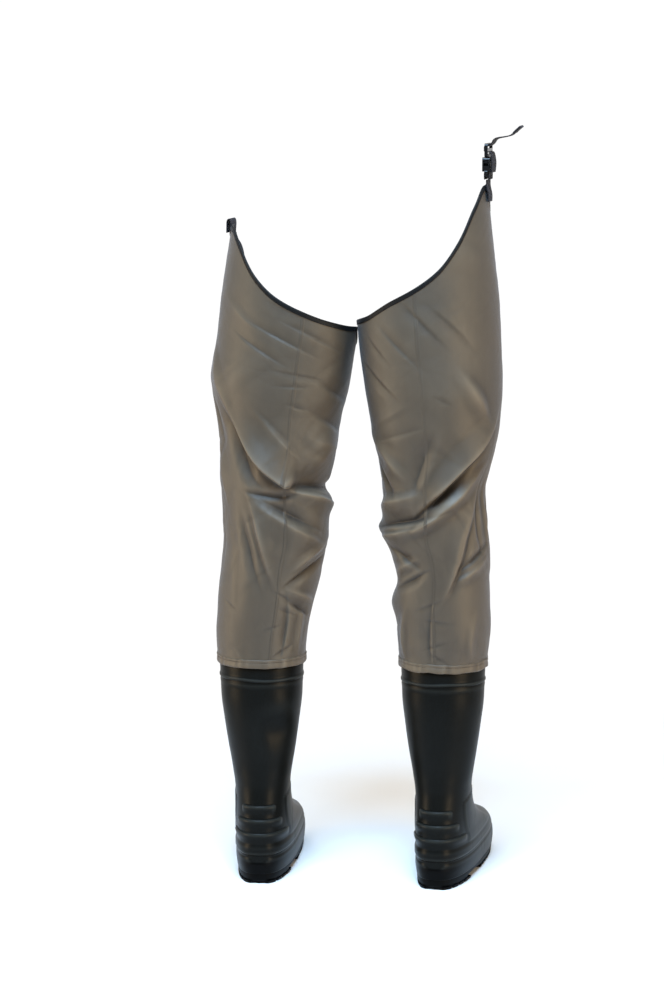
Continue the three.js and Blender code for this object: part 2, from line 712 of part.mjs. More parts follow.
// The belt webbing: up the outside, through the tongue's two slots, then free.
function strapWebbing(standing) {
  const face = TONGUE_HALF_THICKNESS + GAP + WEB / 2 + 0.6;
  const outside = SOCKET_HALF_THICKNESS + GAP + WEB;
  const lowMiddle = lowSlot + TONGUE_SLOT / 2;
  const highMiddle = highSlot + TONGUE_SLOT / 2;
  const threaded = [
    [outside, SOCKET_FOOT + 6], [outside + 0.6, socketBody + 12], [outside - 1, lowMiddle - 4],
    [face, lowMiddle - 0.6], [-face + 0.6, lowMiddle + 0.4], [-face, lowMiddle + 1.8],
    [-face, highMiddle - 1.8], [-face + 0.6, highMiddle - 0.4], [face - 0.6, highMiddle + 0.2],
  ];
  const standingTail = [
    [7, highMiddle + 4], [10, highMiddle + 9], [15, highMiddle + 11.5],
    [24, highMiddle + 13], [33, highMiddle + 15.5], [38, highMiddle + 19],
    [42, highMiddle + 23], [49, highMiddle + 29],
  ];
  const hangingTail = [
    [6, highMiddle + 5], [6.5, highMiddle + 12], [6.5, highMiddle + 20],
    [6, highMiddle + 26], [5.5, highMiddle + 30], [5.5, highMiddle + 38],
  ];
  const points = [...threaded, ...(standing ? standingTail : hangingTail)];
  const folded = points.length - 2;
  const thicknesses = points.map((unused, i) => (i < folded ? WEB : 3 * WEB));
  thicknesses[points.length - 1] = 2 * WEB;
  return ribbon(points, thicknesses);
}

function makeStrap(leg, upper) {
  const anchorOffset = 2 * GAP + BINDING_THICKNESS + WEB / 2;
  const span = upper.top(0) - upper.bottom(0);
  const wallAt = (rise) => {
    const place = upper.point(0, 1 + rise / span, anchorOffset);
    return [leg.side * place.x, place.z];
  };
  const foldTop = 8;
  const [edgeOut, edgeUp] = wallAt(BINDING_SEAT + 2 * BINDING_THICKNESS);
  const anchor = [wallAt(-ANCHOR_LENGTH), wallAt(-ANCHOR_LENGTH / 2), [edgeOut, edgeUp]];
  const pivot = { out: edgeOut, up: edgeUp + 4 };
  if (leg.strapStands) {
    anchor.push([edgeOut, edgeUp + 4]);
  } else {
    const inward = 2 * (anchorOffset + SOCKET_HALF_THICKNESS) - 1;
    pivot.out = edgeOut - inward;
    pivot.up = edgeUp - HANGING_DROP;
    anchor.push([edgeOut, edgeUp + 3], [edgeOut - inward / 2, edgeUp + foldTop],
      [pivot.out, edgeUp + 3], [pivot.out, pivot.up]);
  }
  const across = (leg.stations.at(-1).y);
  const inLeg = (geometry) => {
    geometry.translate(0, across, 0);
    if (leg.side < 0) geometry.rotateZ(Math.PI).translate(0, 2 * across, 0);
    return geometry;
  };
  addPiece(leg, 'strap_anchor', inLeg(ribbon(anchor)), WEBBING());

  // A strap that hangs is turned over the edge, to the inside of the leg.
  const place = (geometry) => {
    if (!leg.strapStands) geometry.rotateY(Math.PI);
    return inLeg(geometry.translate(pivot.out, 0, pivot.up));
  };
  addPiece(leg, 'web_loop', place(webLoop()), WEBBING());
  addPiece(leg, 'buckle_socket', place(buckleSocket()), BUCKLE_PLASTIC());
  addPiece(leg, 'buckle_tongue', place(buckleTongue()), BUCKLE_PLASTIC());
  addPiece(leg, 'buckle_arm_front', place(buckleArm(-1)), BUCKLE_PLASTIC());
  addPiece(leg, 'buckle_arm_rear', place(buckleArm(1)), BUCKLE_PLASTIC());
  addPiece(leg, 'strap_webbing', place(strapWebbing(leg.strapStands)), WEBBING());
}

// ------------------------------------------------------------------ assembly

for (const leg of [LEFT, RIGHT]) {
  makeBoot(leg);
  makeStrap(leg, makeLegFabric(leg));
}

// The origin is the middle of the footprint box, on the floor.
const extent = new THREE.Box3().setFromObject(model, true);
const middle = extent.getCenter(new THREE.Vector3());
model.position.set(-middle.x, -middle.y, -extent.min.z);
model.updateMatrixWorld(true);

export default model;
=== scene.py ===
import json
import math

import bpy
import numpy as np
from mathutils import Matrix, Vector, noise


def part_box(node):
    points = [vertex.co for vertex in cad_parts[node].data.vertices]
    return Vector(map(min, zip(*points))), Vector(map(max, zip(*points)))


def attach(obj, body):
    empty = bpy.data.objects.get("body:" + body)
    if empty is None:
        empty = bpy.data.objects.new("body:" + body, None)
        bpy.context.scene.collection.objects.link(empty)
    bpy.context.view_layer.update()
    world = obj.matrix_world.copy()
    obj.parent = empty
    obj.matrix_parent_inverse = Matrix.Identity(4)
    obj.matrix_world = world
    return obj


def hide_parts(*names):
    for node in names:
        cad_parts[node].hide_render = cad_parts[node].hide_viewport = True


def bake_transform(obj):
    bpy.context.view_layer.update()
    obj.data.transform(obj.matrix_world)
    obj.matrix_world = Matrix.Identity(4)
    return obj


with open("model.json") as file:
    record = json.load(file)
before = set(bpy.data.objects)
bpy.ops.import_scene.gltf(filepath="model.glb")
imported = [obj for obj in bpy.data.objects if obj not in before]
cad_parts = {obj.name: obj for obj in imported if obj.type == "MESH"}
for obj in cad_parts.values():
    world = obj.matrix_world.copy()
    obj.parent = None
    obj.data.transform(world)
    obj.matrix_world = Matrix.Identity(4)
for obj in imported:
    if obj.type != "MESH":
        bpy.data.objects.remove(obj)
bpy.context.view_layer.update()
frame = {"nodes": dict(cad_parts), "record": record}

scene = bpy.context.scene
MM = 0.001

# ------------------------------------------------------------------ the legs
# Lengths are in millimetres. Out is measured from the mid plane between the
# legs, back along +Y, and up from the floor. Angles go round a leg from the
# outer hip (0) by the back (90) to the crotch (180) and the front (270).

HEM = 338.0
SHAFT_TOP = 355.0
SKIN = 1.1

LEGS = {
    "left": dict(
        side=1, ankle=(146, 12), toe_out=7, seam=113, crotch=847, dip=64,
        # height, out, back, half width, half depth
        stations=[
            (330, 146, 12, 66, 66), (350, 146, 12, 67, 66), (375, 145.5, 11, 69, 68),
            (425, 139, 9, 72, 71), (456, 134, 8, 75, 74), (490, 130, 7, 77, 77),
            (535, 124, 6, 80, 79), (575, 124, 5, 81.5, 80), (620, 126, 4, 84, 83),
            (657, 123, 2, 88, 85), (690, 121, 0, 91, 88), (718, 120, 0, 95, 91),
            (748, 117, 0, 101, 94), (780, 114, 0, 104.5, 96), (840, 106, 0, 105.5, 98),
            (890, 101, 0, 105, 98), (940, 96, 0, 102.5, 96), (1000, 89, 0, 100, 95)],
        rim=[(0, 151), (15, 150), (30, 147), (41, 134), (50, 119), (58, 102), (70, 79),
             (90, 50), (110, 31), (135, 14), (160, 4), (180, 0)]),
    "right": dict(
        side=-1, ankle=(131, -12), toe_out=3, seam=90, crotch=856, dip=42,
        stations=[
            (330, 131, -12, 66, 66), (350, 131, -12, 67, 66), (375, 131.5, -11, 69, 68),
            (400, 132, -10, 70.5, 69), (440, 130, -8, 71, 72), (475, 130, -7, 70, 74),
            (505, 128, -6, 73, 76), (548, 119, -5, 79.5, 78), (580, 118.5, -4, 79, 79),
            (610, 117.5, -3, 78.5, 80), (640, 119, -2, 82.5, 83), (670, 120, -1, 89, 86),
            (700, 120, 0, 94, 90), (730, 118.5, 0, 98, 92), (760, 116.5, 0, 102, 95),
            (820, 111, 0, 105.5, 97), (892, 106, 0, 106.5, 98), (950, 101, 0, 106, 98),
            (1000, 96, 0, 105, 97), (1062, 91, 0, 103, 96)],
        rim=[(0, 204), (10, 202), (30, 172), (50, 124), (70, 83), (90, 57), (110, 38),
             (140, 12), (180, 0)]),
}

# Folds of the fabric: (points as (angle, height), how proud, width on the left
# and on the right of the line, how crisp, lean). Right and left are those of
# someone who goes along the points on the flattened leg, seen from outside,
# angle to the right and height up.
FRONT_FOLDS = [
    ([(214, 716), (262, 660), (320, 634)], 9, 34, 16, 0.6, -0.3),
    ([(206, 672), (262, 622), (330, 604)], -8, 14, 16, 0.7, 0),
    ([(216, 634), (270, 586), (340, 572)], 9, 30, 16, 0.6, -0.2),
    ([(208, 596), (262, 552), (330, 544)], -6, 12, 16, 0.7, 0),
    ([(230, 560), (280, 500), (340, 470)], 5, 30, 14, 0.6, 0),
    ([(214, 836), (262, 786), (312, 776)], -4, 22, 10, 0.7, 0),
    ([(232, 800), (300, 720), (348, 660)], 5, 28, 14, 0.6, 0),
    ([(226, 490), (246, 420), (238, 346)], 4, 16, 10, 0.6, 0),
    ([(286, 480), (306, 410), (296, 346)], -3, 16, 10, 0.6, 0),
]
FOLDS = {
    "left": FRONT_FOLDS + [
        ([(40, 752), (66, 698), (90, 656), (108, 632), (122, 614)], 15, 40, 16, 0.6, -0.6, 0.14),
        ([(34, 768), (52, 712), (66, 668), (80, 632), (98, 604)], -9, 16, 26, 0.5, 0),
        ([(76, 738), (104, 686), (130, 648)], 4, 9, 24, 0.6, 0),
        ([(120, 700), (152, 676), (198, 662)], 5, 40, 20, 0.4, 0),
        ([(100, 621), (150, 613), (206, 600)], -13, 46, 12, 0.7, 0),
        ([(104, 613), (150, 598), (206, 572)], 7, 7, 28, 0.8, 0),
        ([(136, 606), (104, 600), (66, 610)], -6, 9, 12, 0.7, 0),
        ([(70, 612), (114, 576), (172, 536)], -7, 22, 12, 0.7, 0),
        ([(74, 596), (118, 556), (176, 512)], 6, 12, 34, 0.6, 0),
        ([(70, 620), (82, 566), (92, 516), (116, 440)], 8, 36, 10, 0.8, -0.2),
        ([(62, 590), (72, 530), (98, 440)], -5, 12, 20, 0.6, 0),
        ([(202, 512), (148, 486), (112, 456)], -6, 16, 9, 0.8, 0),
        ([(204, 536), (152, 510), (118, 478)], 5, 12, 18, 0.6, 0),
        ([(118, 446), (176, 408)], -5, 14, 7, 0.9, 0),
        ([(116, 462), (180, 430)], 4, 10, 12, 0.7, 0),
        ([(72, 902), (126, 856)], -1.4, 4, 14, 0.9, 0),
        ([(86, 872), (160, 808)], -1.8, 16, 4, 0.9, 0),
        ([(56, 874), (138, 800)], -1.7, 18, 4, 0.9, 0),
        ([(40, 862), (112, 788)], -1.5, 14, 5, 0.9, 0),
        ([(30, 908), (84, 838)], 1.7, 12, 18, 0.7, 0),
        ([(86, 794), (142, 772)], -1.3, 5, 10, 0.9, 0),
        ([(92, 768), (128, 764)], -1.1, 8, 4, 0.9, 0),
        ([(104, 742), (128, 728)], -1.3, 10, 4, 0.9, 0),
        ([(16, 836), (62, 700)], 6, 18, 30, 0.5, 0),
        ([(8, 770), (40, 668)], -4, 20, 14, 0.5, 0),
        ([(112, 792), (164, 748), (200, 738)], -3, 24, 10, 0.6, 0),
        ([(118, 738), (164, 704), (200, 684)], -3.5, 26, 10, 0.6, 0),
        ([(10, 716), (32, 640), (46, 568)], 4, 24, 14, 0.5, 0),
        ([(6, 670), (22, 580), (32, 470)], -3, 12, 22, 0.5, 0),
        ([(40, 580), (60, 500), (68, 400)], -1.8, 26, 16, 0.4, 0),
        ([(40, 442), (70, 422)], -1.4, 4, 8, 0.9, 0),
        ([(100, 462), (138, 436)], -1.4, 4, 9, 0.9, 0),
        ([(112, 432), (146, 414)], -1.3, 8, 4, 0.9, 0),
        ([(96, 396), (130, 404)], -1.1, 4, 8, 0.9, 0),
        ([(104, 346), (152, 376)], -1.8, 5, 10, 0.9, 0),
        ([(120, 470), (132, 404), (128, 340)], -3.5, 5, 26, 0.7, 0),
        ([(152, 450), (156, 340)], 3.5, 18, 14, 0.5, 0),
        ([(60, 372), (84, 342)], 1.1, 8, 5, 0.8, 0),
    ],
    "right": FRONT_FOLDS + [
        ([(4, 742), (30, 694), (56, 652), (92, 586)], 13, 34, 16, 0.6, -0.3, 0.2),
        ([(14, 664), (46, 620), (72, 590), (112, 545)], 11, 14, 26, 0.6, -0.3, 0.2),
        ([(20, 690), (54, 634), (84, 594), (108, 566)], -8, 10, 12, 0.7, 0),
        ([(78, 716), (94, 656), (106, 600)], -7, 26, 18, 0.4, 0),
        ([(188, 540), (138, 560), (102, 571), (56, 594)], -10, 8, 24, 0.8, 0),
        ([(188, 574), (136, 594), (86, 612)], 8, 24, 18, 0.4, 0),
        ([(188, 530), (132, 546), (88, 564)], 5, 20, 7, 0.8, 0),
        ([(156, 454), (88, 500)], -5, 16, 7, 0.8, 0),
        ([(160, 478), (100, 516)], 4, 14, 14, 0.6, 0),
        ([(156, 534), (96, 490)], -5, 10, 20, 0.7, 0),
        ([(14, 666), (40, 572), (58, 505), (90, 424)], 9, 34, 10, 0.8, 0.2),
        ([(30, 600), (52, 520), (74, 440)], -5, 14, 22, 0.5, 0),
        ([(2, 536), (32, 514), (66, 490)], -5, 14, 7, 0.8, 0),
        ([(4, 516), (38, 494), (72, 470)], 4, 8, 18, 0.7, 0),
        ([(112, 916), (62, 818)], -1.7, 14, 4, 0.9, 0),
        ([(86, 900), (34, 812)], -1.7, 14, 4, 0.9, 0),
        ([(132, 876), (84, 786)], -1.7, 4, 16, 0.8, 0),
        ([(148, 858), (110, 790)], -1.4, 12, 4, 0.9, 0),
        ([(164, 820), (104, 738)], -2, 16, 5, 0.8, 0),
        ([(84, 760), (64, 742)], -1.1, 4, 8, 0.9, 0),
        ([(80, 716), (150, 682)], -1.6, 20, 6, 0.8, 0),
        ([(92, 752), (150, 704)], 1.4, 24, 10, 0.6, 0),
        ([(62, 806), (24, 706)], 5, 24, 16, 0.5, 0),
        ([(180, 712), (138, 664), (106, 622)], 5, 18, 26, 0.6, 0),
        ([(184, 676), (146, 630), (120, 592)], -4, 16, 10, 0.7, 0),
        ([(2, 654), (10, 576), (4, 500)], 4, 12, 8, 0.6, 0),
        ([(18, 646), (28, 572), (22, 500)], -4, 10, 10, 0.6, 0),
        ([(-8, 630), (-4, 560), (-10, 480)], -3, 12, 9, 0.5, 0),
        ([(70, 456), (118, 430)], -1.4, 4, 10, 0.9, 0),
        ([(62, 414), (110, 420)], -1.3, 4, 9, 0.9, 0),
        ([(68, 388), (112, 370)], -1.3, 8, 4, 0.9, 0),
        ([(64, 346), (104, 370)], -1.7, 5, 9, 0.9, 0),
        ([(88, 470), (98, 396), (94, 338)], -3.5, 26, 5, 0.7, 0),
        ([(124, 450), (142, 390), (138, 340)], 4, 20, 14, 0.5, 0),
        ([(30, 446), (46, 390), (40, 340)], 3, 16, 20, 0.5, 0),
        ([(150, 420), (180, 392)], -1.7, 5, 10, 0.8, 0),
    ],
}

# Soft dents and swellings of the fabric: angle, height, how proud, half width
# and half height.
SWELLS = {
    "left": [(120, 622, 6, 16, 12), (192, 604, -9, 30, 9), (188, 578, 5, 28, 13),
             (8, 770, 3, 30, 30), (150, 660, 4, 30, 26), (90, 430, 2.5, 50, 30),
             (60, 780, 3, 40, 40), (140, 870, 3, 40, 36), (20, 450, 2, 30, 40)],
    "right": [(180, 548, 8, 26, 10), (178, 474, -8, 30, 15), (170, 434, 5, 30, 18),
              (176, 590, -3, 26, 14), (12, 600, -4, 24, 26), (130, 640, 4, 26, 22),
              (60, 760, 3, 40, 40), (130, 860, 3, 40, 36), (60, 400, 2.5, 40, 30)],
}

DEGREE = 1.6  # mm of arc to a degree, at the middle of a leg

for name, leg in LEGS.items():
    low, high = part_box(f"{name}_boot_collar")
    centre = (low + high) / 2 / MM
    leg["name"] = name
    leg["middle"] = (centre.x - leg["side"] * leg["ankle"][0], centre.y - leg["ankle"][1])


def smooth(xs, ys, x):
    """A cubic through given points that never overshoots them."""
    xs, ys = np.asarray(xs, float), np.asarray(ys, float)
    step, slope = np.diff(xs), np.diff(ys) / np.diff(xs)
    rate = np.empty_like(ys)
    rate[0], rate[-1] = slope[0], slope[-1]
    same = slope[:-1] * slope[1:] > 0
    a, b = 2 * step[1:] + step[:-1], step[1:] + 2 * step[:-1]
    before, after = np.where(same, slope[:-1], 1), np.where(same, slope[1:], 1)
    rate[1:-1] = np.where(same, (a + b) / (a / before + b / after), 0)
    i = np.clip(np.searchsorted(xs, x) - 1, 0, len(xs) - 2)
    t = np.clip((x - xs[i]) / step[i], 0, 1)
    return ((2 * t**3 - 3 * t**2 + 1) * ys[i] + (t**3 - 2 * t**2 + t) * step[i] * rate[i]
            + (3 * t**2 - 2 * t**3) * ys[i + 1] + (t**3 - t**2) * step[i] * rate[i + 1])


def ease(x, low, high):
    t = np.clip((x - low) / (high - low), 0, 1)
    return t * t * (3 - 2 * t)


def rim_height(leg, angle):
    turn = np.mod(angle, 360.0)
    back = turn <= 180
    xs, ys = zip(*leg["rim"])
    rise = smooth(xs, ys, np.where(back, turn, 360 - turn))
    front = np.radians(360 - turn)
    dip = leg["dip"] * np.sqrt(np.clip(np.sin(front), 0, 1)) * (1 + 0.25 * np.cos(front))
    return leg["crotch"] + rise - np.where(back, 0, dip)


def rounded_path(points, pieces=8):
    """Catmull-Rom line through given points, in mm of arc and height."""
    p = [np.array((a * DEGREE, z), float) for a, z in points]
    p = [2 * p[0] - p[1], *p, 2 * p[-1] - p[-2]]
    line = []
    for i in range(1, len(p) - 2):
        for k in range(pieces):
            t = k / pieces
            line.append(0.5 * (2 * p[i] + (p[i + 1] - p[i - 1]) * t
                               + (2 * p[i - 1] - 5 * p[i] + 4 * p[i + 1] - p[i + 2]) * t**2
                               + (3 * p[i] - p[i - 1] - 3 * p[i + 1] + p[i + 2]) * t**3))
    line.append(p[-2])
    return np.array(line)


FOLD_LINES = {name: [(rounded_path(f[0]), *f[1:]) for f in folds] for name, folds in FOLDS.items()}


def add_fold(arc, height, proud, shift_arc, shift_up, fold):
    line, tall, left, right, crisp, lean, *blunt = fold
    ending = blunt[0] if blunt else 0.45
    reach = max(left, right)
    low, high = line.min(0) - reach, line.max(0) + reach
    for turn in (-360 * DEGREE, 0, 360 * DEGREE):
        near = ((arc + turn > low[0]) & (arc + turn < high[0])
                & (height > low[1]) & (height < high[1]))
        if not near.any():
            continue
        s, z = arc[near] + turn, height[near]
        best = np.full(s.shape, 1e9)
        side, along, nx, nz = (np.zeros(s.shape) for unused in range(4))
        for k in range(len(line) - 1):
            (ax, az), (bx, bz) = line[k], line[k + 1]
            dx, dz = bx - ax, bz - az
            length = dx * dx + dz * dz
            t = np.clip(((s - ax) * dx + (z - az) * dz) / length, 0, 1)
            ox, oz = s - ax - t * dx, z - az - t * dz
            far = ox * ox + oz * oz
            hit = far < best
            best = np.where(hit, far, best)
            side = np.where(hit, dx * oz - dz * ox, side)
            along = np.where(hit, (k + t) / (len(line) - 1), along)
            nx = np.where(hit, -dz / math.sqrt(length), nx)
            nz = np.where(hit, dx / math.sqrt(length), nz)
        waist = 0.35 + 0.65 * np.sin(np.clip(along, 0.02, 0.98) * math.pi) ** 0.7
        x = np.sqrt(best) / (np.where(side > 0, left, right) * waist)
        x = np.clip(x, 0, 1)
        profile = (1 - crisp) * np.cos(x * math.pi / 2) ** 2 + crisp * (1 - x) ** 1.8
        taper = ease(along, 0, 0.55) * ease(1 - along, 0, ending)
        amount = tall * profile * taper
        proud[near] += amount
        shift_arc[near] += lean * amount * nx
        shift_up[near] += lean * amount * nz


def per_point(function, arc, height, size, stretch=1.0):
    """A noise function over the leg's round, which closes at the front."""
    turn = arc / DEGREE * math.pi / 180
    radius = 92.0 / size
    xs, ys = np.cos(turn) * radius, np.sin(turn) * radius
    zs = height / size * stretch
    flat = zip(xs.ravel(), ys.ravel(), zs.ravel())
    return np.array([function(Vector(p)) for p in flat]).reshape(arc.shape)


def creases(p):
    bent = p + 0.55 * noise.noise_vector(p * 1.3)
    near = noise.voronoi(bent)[0]
    return min(near[1] - near[0], 0.5)


def relief(leg, angle, height):
    """How the fabric stands off its smooth tube, and how it slides along it."""
    arc = angle * DEGREE
    proud, shift_arc, shift_up = (np.zeros(arc.shape) for unused in range(3))
    for fold in FOLD_LINES[leg["name"]]:
        add_fold(arc, height, proud, shift_arc, shift_up, fold)
    for where, z, tall, half_arc, half_up in SWELLS[leg["name"]]:
        for turn in (-360, 0, 360):
            far = (((angle + turn - where) * DEGREE / half_arc) ** 2
                   + ((height - z) / half_up) ** 2)
            proud += tall * np.exp(-far)
    seed = Vector((leg["side"] * 7.3, 3.1, 11.7))
    knee = ease(height, 420, 500) * ease(760 - height, 0, 90)
    thigh = ease(height, 700, 780)
    shin = ease(450 - height, 0, 60)
    broad = per_point(lambda p: noise.noise(p + seed), arc, height, 80, 0.7)
    crumple = per_point(lambda p: creases(p + seed), arc - height * 0.5, height, 62, 0.8)
    fine = per_point(lambda p: creases(p - seed), arc + height * 0.8, height, 30, 0.8)
    proud += broad * (2.4 + 1.8 * knee)
    proud += (crumple - 0.3) * (1.8 * knee + 1.0 * thigh + 1.2 * shin)
    proud += (fine - 0.3) * (0.3 * knee + 0.4 * thigh + 0.4 * shin)
    calm = ease(height, HEM - 4, HEM + 26)
    edge = rim_height(leg, angle)
    at_rim = 0.25 + 0.75 * ease(edge - height, -4, 40)
    hold = (0.06 + 0.94 * calm) * at_rim
    return proud * hold, shift_arc * hold, shift_up * hold


def skin(leg, angle, height, offset=0.0, flat=False):
    """Points of the leg's outer face. Angle in degrees and height in mm."""
    angle, height = np.broadcast_arrays(np.asarray(angle, float), np.asarray(height, float))
    proud, shift_arc, shift_up = relief(leg, angle, height)
    if flat:
        proud, shift_arc, shift_up = (np.zeros(angle.shape) for unused in range(3))
    z = height + shift_up
    turn = np.radians(angle + shift_arc / DEGREE)
    columns = list(zip(*leg["stations"]))
    out, back, wide, deep = (smooth(columns[0], c, z) for c in columns[1:])
    x = leg["middle"][0] + leg["side"] * (out + (wide + proud + offset) * np.cos(turn))
    y = leg["middle"][1] + back + (deep + proud + offset) * np.sin(turn)
    return np.stack([x, y, z], -1)


def skin_normal(leg, angle, height):
    across = skin(leg, np.asarray(angle) + 0.6, height) - skin(leg, np.asarray(angle) - 0.6, height)
    up = skin(leg, angle, np.asarray(height) + 1.0) - skin(leg, angle, np.asarray(height) - 1.0)
    n = np.cross(across, up) * leg["side"]
    return n / np.linalg.norm(n, axis=-1, keepdims=True)


# ------------------------------------------------------------------ materials

def linear(rgb):
    return tuple((c / 255 / 12.92) if c <= 10 else ((c / 255 + 0.055) / 1.055) ** 2.4
                 for c in rgb) + (1.0,)


class Finish:
    """A material's node tree, with short calls for the usual nodes."""

    def __init__(self, name, roughness=0.5, sheen=0.0, coat=0.0, specular=0.5, tint=None):
        self.material = bpy.data.materials.new(name)
        self.material.use_nodes = True
        self.tree = self.material.node_tree
        self.shader = self.tree.nodes["Principled BSDF"]
        self.shader.inputs["Roughness"].default_value = roughness
        self.shader.inputs["Sheen Weight"].default_value = sheen
        self.shader.inputs["Sheen Roughness"].default_value = 0.4
        self.shader.inputs["Coat Weight"].default_value = coat
        self.shader.inputs["Coat Roughness"].default_value = 0.35
        self.shader.inputs["Specular IOR Level"].default_value = specular
        if tint:
            self.shader.inputs["Sheen Tint"].default_value = linear(tint)
        self.normal = None

    def node(self, kind, inputs=None, **settings):
        made = self.tree.nodes.new(kind)
        for key, value in settings.items():
            setattr(made, key, value)
        for key, value in (inputs or {}).items():
            if isinstance(value, bpy.types.NodeSocket):
                self.tree.links.new(value, made.inputs[key])
            else:
                made.inputs[key].default_value = value
        return made

    def place(self, kind="Object", scale=(1, 1, 1)):
        where = self.node("ShaderNodeTexCoord").outputs[kind]
        return self.node("ShaderNodeMapping", {"Vector": where, "Scale": scale}).outputs[0]

    def grain(self, vector, scale, detail=4.0, roughness=0.6):
        return self.node("ShaderNodeTexNoise", {
            "Vector": vector, "Scale": scale, "Detail": detail, "Roughness": roughness}).outputs[0]

    def wave(self, vector, scale, direction, distortion=0.0):
        return self.node("ShaderNodeTexWave", {
            "Vector": vector, "Scale": scale, "Distortion": distortion},
            wave_type="BANDS", bands_direction=direction).outputs[1]

    def calc(self, operation, a, b=0.0):
        return self.node("ShaderNodeMath", {0: a, 1: b}, operation=operation).outputs[0]

    def ramp(self, value, stops):
        made = self.node("ShaderNodeValToRGB", {"Fac": value})
        elements = made.color_ramp.elements
        while len(elements) < len(stops):
            elements.new(0.5)
        for element, (place, colour) in zip(elements, stops):
            element.position = place
            element.color = linear(colour)
        return made.outputs[0]

    def mix(self, factor, a, b, blend="MIX"):
        made = self.node("ShaderNodeMix", data_type="RGBA", blend_type=blend)
        for key, value in (("Factor", factor), ("A", a), ("B", b)):
            socket = [s for s in made.inputs if s.name == key and s.type in (
                ("VALUE",) if key == "Factor" else ("RGBA",))][0]
            if isinstance(value, bpy.types.NodeSocket):
                self.tree.links.new(value, socket)
            else:
                socket.default_value = value
        return [s for s in made.outputs if s.type == "RGBA"][0]

    def bump(self, height, strength, distance):
        inputs = {"Height": height, "Strength": strength, "Distance": distance}
        if self.normal:
            inputs["Normal"] = self.normal
        self.normal = self.node("ShaderNodeBump", inputs).outputs[0]

    def attribute(self, name):
        return self.node("ShaderNodeAttribute", attribute_name=name).outputs["Fac"]

    def spread(self, value, low, high):
        return self.node("ShaderNodeMapRange", {
            "Value": value, "To Min": low, "To Max": high}).outputs[0]

    def done(self, colour, roughness=None):
        self.tree.links.new(colour, self.shader.inputs["Base Color"])
        if roughness is not None:
            self.tree.links.new(roughness, self.shader.inputs["Roughness"])
        if self.normal:
            self.tree.links.new(self.normal, self.shader.inputs["Normal"])
        return self.material


def nylon(name, dark, middle, light, sheen=0.1, specular=0.42):
    f = Finish(name, 0.5, sheen=sheen, specular=specular, tint=(190, 200, 215))
    cloth = f.place("UV")
    around = f.place("Object")
    blotch = f.grain(around, 7.0, 3.0)
    streak = f.grain(f.place("UV", (60, 9, 1)), 1.0, 3.0)
    # Crest paints a highlight on fold ridges and shade in fold hollows; blotch and streak add random tone.
    fold_light_and_tone = f.calc("ADD", f.attribute("crest"), f.calc("MULTIPLY", blotch, 0.3))
    fold_light_and_tone = f.calc("ADD", fold_light_and_tone, f.calc("MULTIPLY", streak, 0.12))
    colour = f.ramp(f.calc("SUBTRACT", fold_light_and_tone, 0.2), [(0.12, dark), (0.5, middle), (0.9, light)])
    warp = f.wave(cloth, 560, "X", 0.4)
    weft = f.wave(cloth, 560, "Y", 0.4)
    weave = f.calc("MULTIPLY", warp, weft)
    colour = f.mix(f.calc("MULTIPLY", weave, 0.12), colour, linear(light))
    f.bump(f.grain(f.place("UV", (1, 0.5, 1)), 26, 3.0), 0.16, 0.0016)
    f.bump(weave, 0.22, 0.0002)
    return f.done(colour, f.spread(f.grain(around, 14, 4.0), 0.46, 0.62))


def knit(name, colour, other):
    f = Finish(name, 0.9, sheen=0.3)
    cloth = f.place("UV")
    loops = f.calc("MULTIPLY", f.wave(cloth, 260, "X", 1.5), f.wave(cloth, 330, "Y", 1.0))
    f.bump(loops, 0.5, 0.0005)
    return f.done(f.mix(f.grain(cloth, 90), linear(colour), linear(other)))


def moulded(name, dark, light, grain_scale, rough, specular=0.22, black_below=None):
    f = Finish(name, rough[0], specular=specular)
    around = f.place("Object")
    mottle = f.grain(around, 26, 5.0)
    scuff = f.ramp(f.grain(f.place("Object", (1, 1, 0.3)), 60, 6.0, 0.7),
                   [(0.55, (0, 0, 0)), (0.78, (255, 255, 255))])
    colour = f.mix(mottle, linear(dark), linear(light))
    # Crest lightens raised mouldings towards a brighter copy of the light colour: a painted highlight.
    edge = f.calc("MULTIPLY", f.attribute("crest"), 0.9)
    colour = f.mix(edge, colour, linear(tuple(min(255, c * 1.9 + 8) for c in light)))
    if black_below:
        height = f.node("ShaderNodeSeparateXYZ", {0: around}).outputs[2]
        upper = f.node("ShaderNodeMapRange", {
            "Value": height, "From Min": black_below - 0.001, "From Max": black_below}).outputs[0]
        colour = f.mix(upper, linear((2, 2, 2)), colour)
    f.bump(f.grain(around, grain_scale, 3.0), 0.10, 0.0004)
    f.bump(mottle, 0.15, 0.0012)
    return f.done(colour, f.spread(scuff, rough[0], rough[1]))


def woven(name, dark, light):
    f = Finish(name, 0.7, sheen=0.06, specular=0.2, tint=(200, 200, 225))
    cloth = f.place("UV")
    ribs = f.wave(cloth, 150, "DIAGONAL")
    rows = f.wave(cloth, 420, "Y", 0.6)
    lift = f.calc("MULTIPLY", ribs, rows)
    f.bump(lift, 0.8, 0.0006)
    colour = f.mix(f.calc("ADD", f.calc("MULTIPLY", lift, 0.6), f.calc("MULTIPLY", f.grain(cloth, 50), 0.3)),
                   linear(dark), linear(light))
    return f.done(colour)


NYLON = nylon("coated_nylon", (34, 29, 23), (65, 57, 46), (92, 82, 68))
CUFF = nylon("coated_nylon_cuff", (42, 36, 28), (72, 62, 49), (96, 85, 69))
